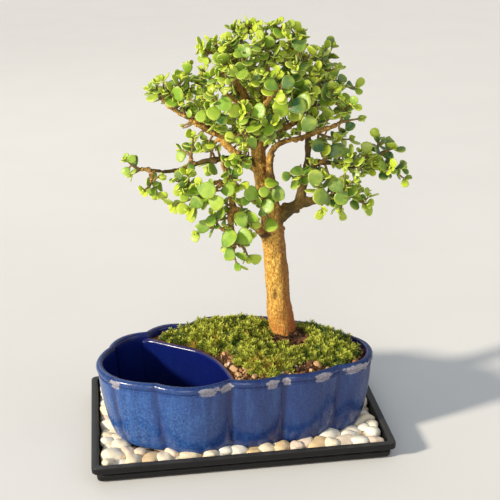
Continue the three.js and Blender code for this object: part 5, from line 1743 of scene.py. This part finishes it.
def build_leaves(settings):
    finishes = leaf_finishes(settings)
    large = [(name, place_in_view(across, down, y), size) for name, across, down, y, size in LARGE_LEAVES]
    kept_clear = [(centre, size) for _, centre, size in large]
    grown = {name: spray_lines(branch, tips) for name, (branch, _, *tips) in SPRAYS.items()}
    clusters = cluster_tips(grown)
    for number, (name, (_, leaf_length, *_)) in enumerate(SPRAYS.items()):
        twig, stems = grown[name]
        shoots = Shoots(settings, 900 + number, kept_clear)
        full = name not in SPARSE_SPRAYS
        for line in stems:
            shoots.stem(line, leaf_length * 1.06, 5.4, 7.6, 1.0, full)
        for t in shoots.chance.uniform(0.3, 1.0, MORE_SHOOTS.get(name, USUAL_SHOOTS) if full else 0):
            start = bezier(*twig, [t])[0]
            out = unit(start - CROWN_MIDDLE)
            aim = unit(shoots.chance.normal(size=3) + 0.9 * LIGHT + 0.6 * out)
            shoots.short_shoot(start, aim, leaf_length)
        for tip in clusters[name]:
            shoots.side_shoot(stems, tip, leaf_length)
        for bearer, centre, size in large:
            if bearer == name:
                shoots.large_leaf(stems, centre, size)
        settle_in(shoots.shape.piece("shoot_" + name), finishes, "leaf", "leaves_" + name)

    shoots = Shoots(settings, 870, kept_clear)
    for name, (low, high, count, leaf_length) in INNER_SHOOTS.items():
        line, radius = branch_line(name)
        for share in np.linspace(low, high, count):
            k = min(max(int(share * (len(line) - 1)), 1), len(line) - 2)
            ahead = unit(line[k + 1] - line[k - 1])
            aim = shoots.chance.normal(size=3) + 0.8 * LIGHT + 0.7 * unit(line[k] - CROWN_MIDDLE)
            out = unit(aim - ahead * aim.dot(ahead))
            shoots.short_shoot(line[k] + out * 0.7 * radius[k], unit(out + 0.35 * ahead), leaf_length)
    settle_in(shoots.shape.piece("inner_shoots"), finishes, "leaf")


# ---------------------------------------------------------------- stage

def add_light(kind, name, heading, power, tint, **form):
    """A light of a kind, shining along a heading."""
    light = bpy.data.lights.new(name, kind)
    light.energy, light.color = power, tint
    for key, value in form.items():
        setattr(light, key, value)
    lamp = bpy.data.objects.new(name, light)
    lamp.rotation_euler = Vector(heading).to_track_quat("-Z", "Y").to_euler()
    bpy.context.scene.collection.objects.link(lamp)
    return lamp


def build_stage(settings):
    scene = bpy.context.scene
    scene.view_settings.view_transform = "Standard"
    data = bpy.data.cameras.new("studio_camera")
    data.lens, data.sensor_width, data.clip_end = LENS, SENSOR, 50.0
    camera = bpy.data.objects.new("studio_camera", data)
    right, up, ahead = camera_axes()
    camera.matrix_world = Matrix.Translation(CAMERA_PLACE) @ Matrix((right, up, -ahead)).transposed().to_4x4()
    scene.collection.objects.link(camera)
    scene.camera = camera

    mesh = bpy.data.meshes.new("studio_floor")
    corners = [(x * FLOOR_HALF, y * FLOOR_HALF, 0) for x, y in ((-1, -1), (1, -1), (1, 1), (-1, 1))]
    mesh.from_pydata(corners, [], [(0, 1, 2, 3)])
    floor = bpy.data.objects.new("studio_floor", mesh)
    scene.collection.objects.link(floor)
    paper = Finish("studio_paper", Roughness=0.9, Specular_IOR_Level=0.15)
    clouded = [channel * 0.95 for channel in settings.floor]
    paper.coats(settings.floor, (paper.ramp(paper.noise(160, 4), 0.3, 0.7, 0, 0.35), clouded))
    mesh.materials.append(paper.material)

    world = bpy.data.worlds.new("studio_air")
    scene.world = world
    world.use_nodes = True
    background = world.node_tree.nodes["Background"]
    background.inputs["Color"].default_value = SKY_TINT
    background.inputs["Strength"].default_value = settings.sky

    for name, heading, spread, power, tint in (
            ("low_sun", SUN_HEADING, SUN_SPREAD, settings.key_power, SUN_TINT),
            ("front_glow", FRONT_HEADING, FRONT_SPREAD, settings.front_power, FRONT_TINT)):
        add_light("SUN", name, heading, power, tint, angle=math.radians(spread))
    for name, place, goal, size, tint in SQUARE_LIGHTS:
        heading = Vector(goal) - Vector(place)
        add_light("AREA", name, heading, settings.fill_power, tint, size=size).location = place


# ---------------------------------------------------------------- operators and panel

class BONSAI_OT_tray(bpy.types.Operator):
    """Build the black humidity tray"""
    bl_idname = "bonsai.tray"
    bl_label = "Humidity tray"

    def execute(self, context):
        build_tray(context.scene.bonsai_tray)
        return {"FINISHED"}


class BONSAI_OT_pebbles(bpy.types.Operator):
    """Fill the tray with river pebbles"""
    bl_idname = "bonsai.pebbles"
    bl_label = "Pebbles"

    def execute(self, context):
        build_pebbles(context.scene.bonsai_pebbles)
        return {"FINISHED"}


class BONSAI_OT_pot(bpy.types.Operator):
    """Build the lobed glazed pot with its divider"""
    bl_idname = "bonsai.pot"
    bl_label = "Glazed pot"

    def execute(self, context):
        build_pot(context.scene.bonsai_pot)
        return {"FINISHED"}


class BONSAI_OT_screens(bpy.types.Operator):
    """Finish the drain screens"""
    bl_idname = "bonsai.screens"
    bl_label = "Drain screens"

    def execute(self, context):
        build_screens()
        return {"FINISHED"}


class BONSAI_OT_soil(bpy.types.Operator):
    """Lay the soil's surface and its grit"""
    bl_idname = "bonsai.soil"
    bl_label = "Soil"

    def execute(self, context):
        build_soil(context.scene.bonsai_soil)
        return {"FINISHED"}


class BONSAI_OT_moss(bpy.types.Operator):
    """Grow the moss cushions"""
    bl_idname = "bonsai.moss"
    bl_label = "Moss"

    def execute(self, context):
        build_moss(context.scene.bonsai_moss)
        return {"FINISHED"}


class BONSAI_OT_wood(bpy.types.Operator):
    """Grow the trunk, branches and twigs"""
    bl_idname = "bonsai.wood"
    bl_label = "Trunk and branches"

    def execute(self, context):
        build_wood(context.scene.bonsai_wood)
        return {"FINISHED"}


class BONSAI_OT_leaves(bpy.types.Operator):
    """Grow the leafy shoots"""
    bl_idname = "bonsai.leaves"
    bl_label = "Leafy shoots"

    def execute(self, context):
        build_leaves(context.scene.bonsai_leaves)
        return {"FINISHED"}


class BONSAI_OT_stage(bpy.types.Operator):
    """Set up the floor, lights and camera"""
    bl_idname = "bonsai.stage"
    bl_label = "Stage"

    def execute(self, context):
        build_stage(context.scene.bonsai_stage)
        return {"FINISHED"}


OPERATORS = (
    BONSAI_OT_stage, BONSAI_OT_tray, BONSAI_OT_pebbles, BONSAI_OT_pot, BONSAI_OT_screens,
    BONSAI_OT_soil, BONSAI_OT_moss, BONSAI_OT_wood, BONSAI_OT_leaves,
)


class BONSAI_PT_panel(bpy.types.Panel):
    """Lists the bonsai's pieces and their settings"""
    bl_label = "Jade bonsai"
    bl_idname = "BONSAI_PT_panel"
    bl_space_type = "VIEW_3D"
    bl_region_type = "UI"
    bl_category = "Bonsai"

    def draw(self, context):
        for operator in OPERATORS:
            box = self.layout.box()
            box.operator(operator.bl_idname)
            key = operator.bl_idname.replace(".", "_")
            if key in SETTINGS:
                settings = getattr(context.scene, key)
                for name in settings.bl_rna.properties.keys():
                    if name not in ("rna_type", "name"):
                        box.prop(settings, name)


def register():
    for group in (*SETTINGS.values(), *OPERATORS, BONSAI_PT_panel):
        bpy.utils.register_class(group)
    for key, group in SETTINGS.items():
        setattr(bpy.types.Scene, key, bpy.props.PointerProperty(type=group))


def unregister():
    for key in SETTINGS:
        delattr(bpy.types.Scene, key)
    for group in (BONSAI_PT_panel, *reversed(OPERATORS), *reversed(tuple(SETTINGS.values()))):
        bpy.utils.unregister_class(group)


def main():
    register()
    for operator in OPERATORS:
        group, name = operator.bl_idname.split(".")
        getattr(getattr(bpy.ops, group), name)()
    bpy.context.view_layer.update()


if __name__ == "__main__":
    main()
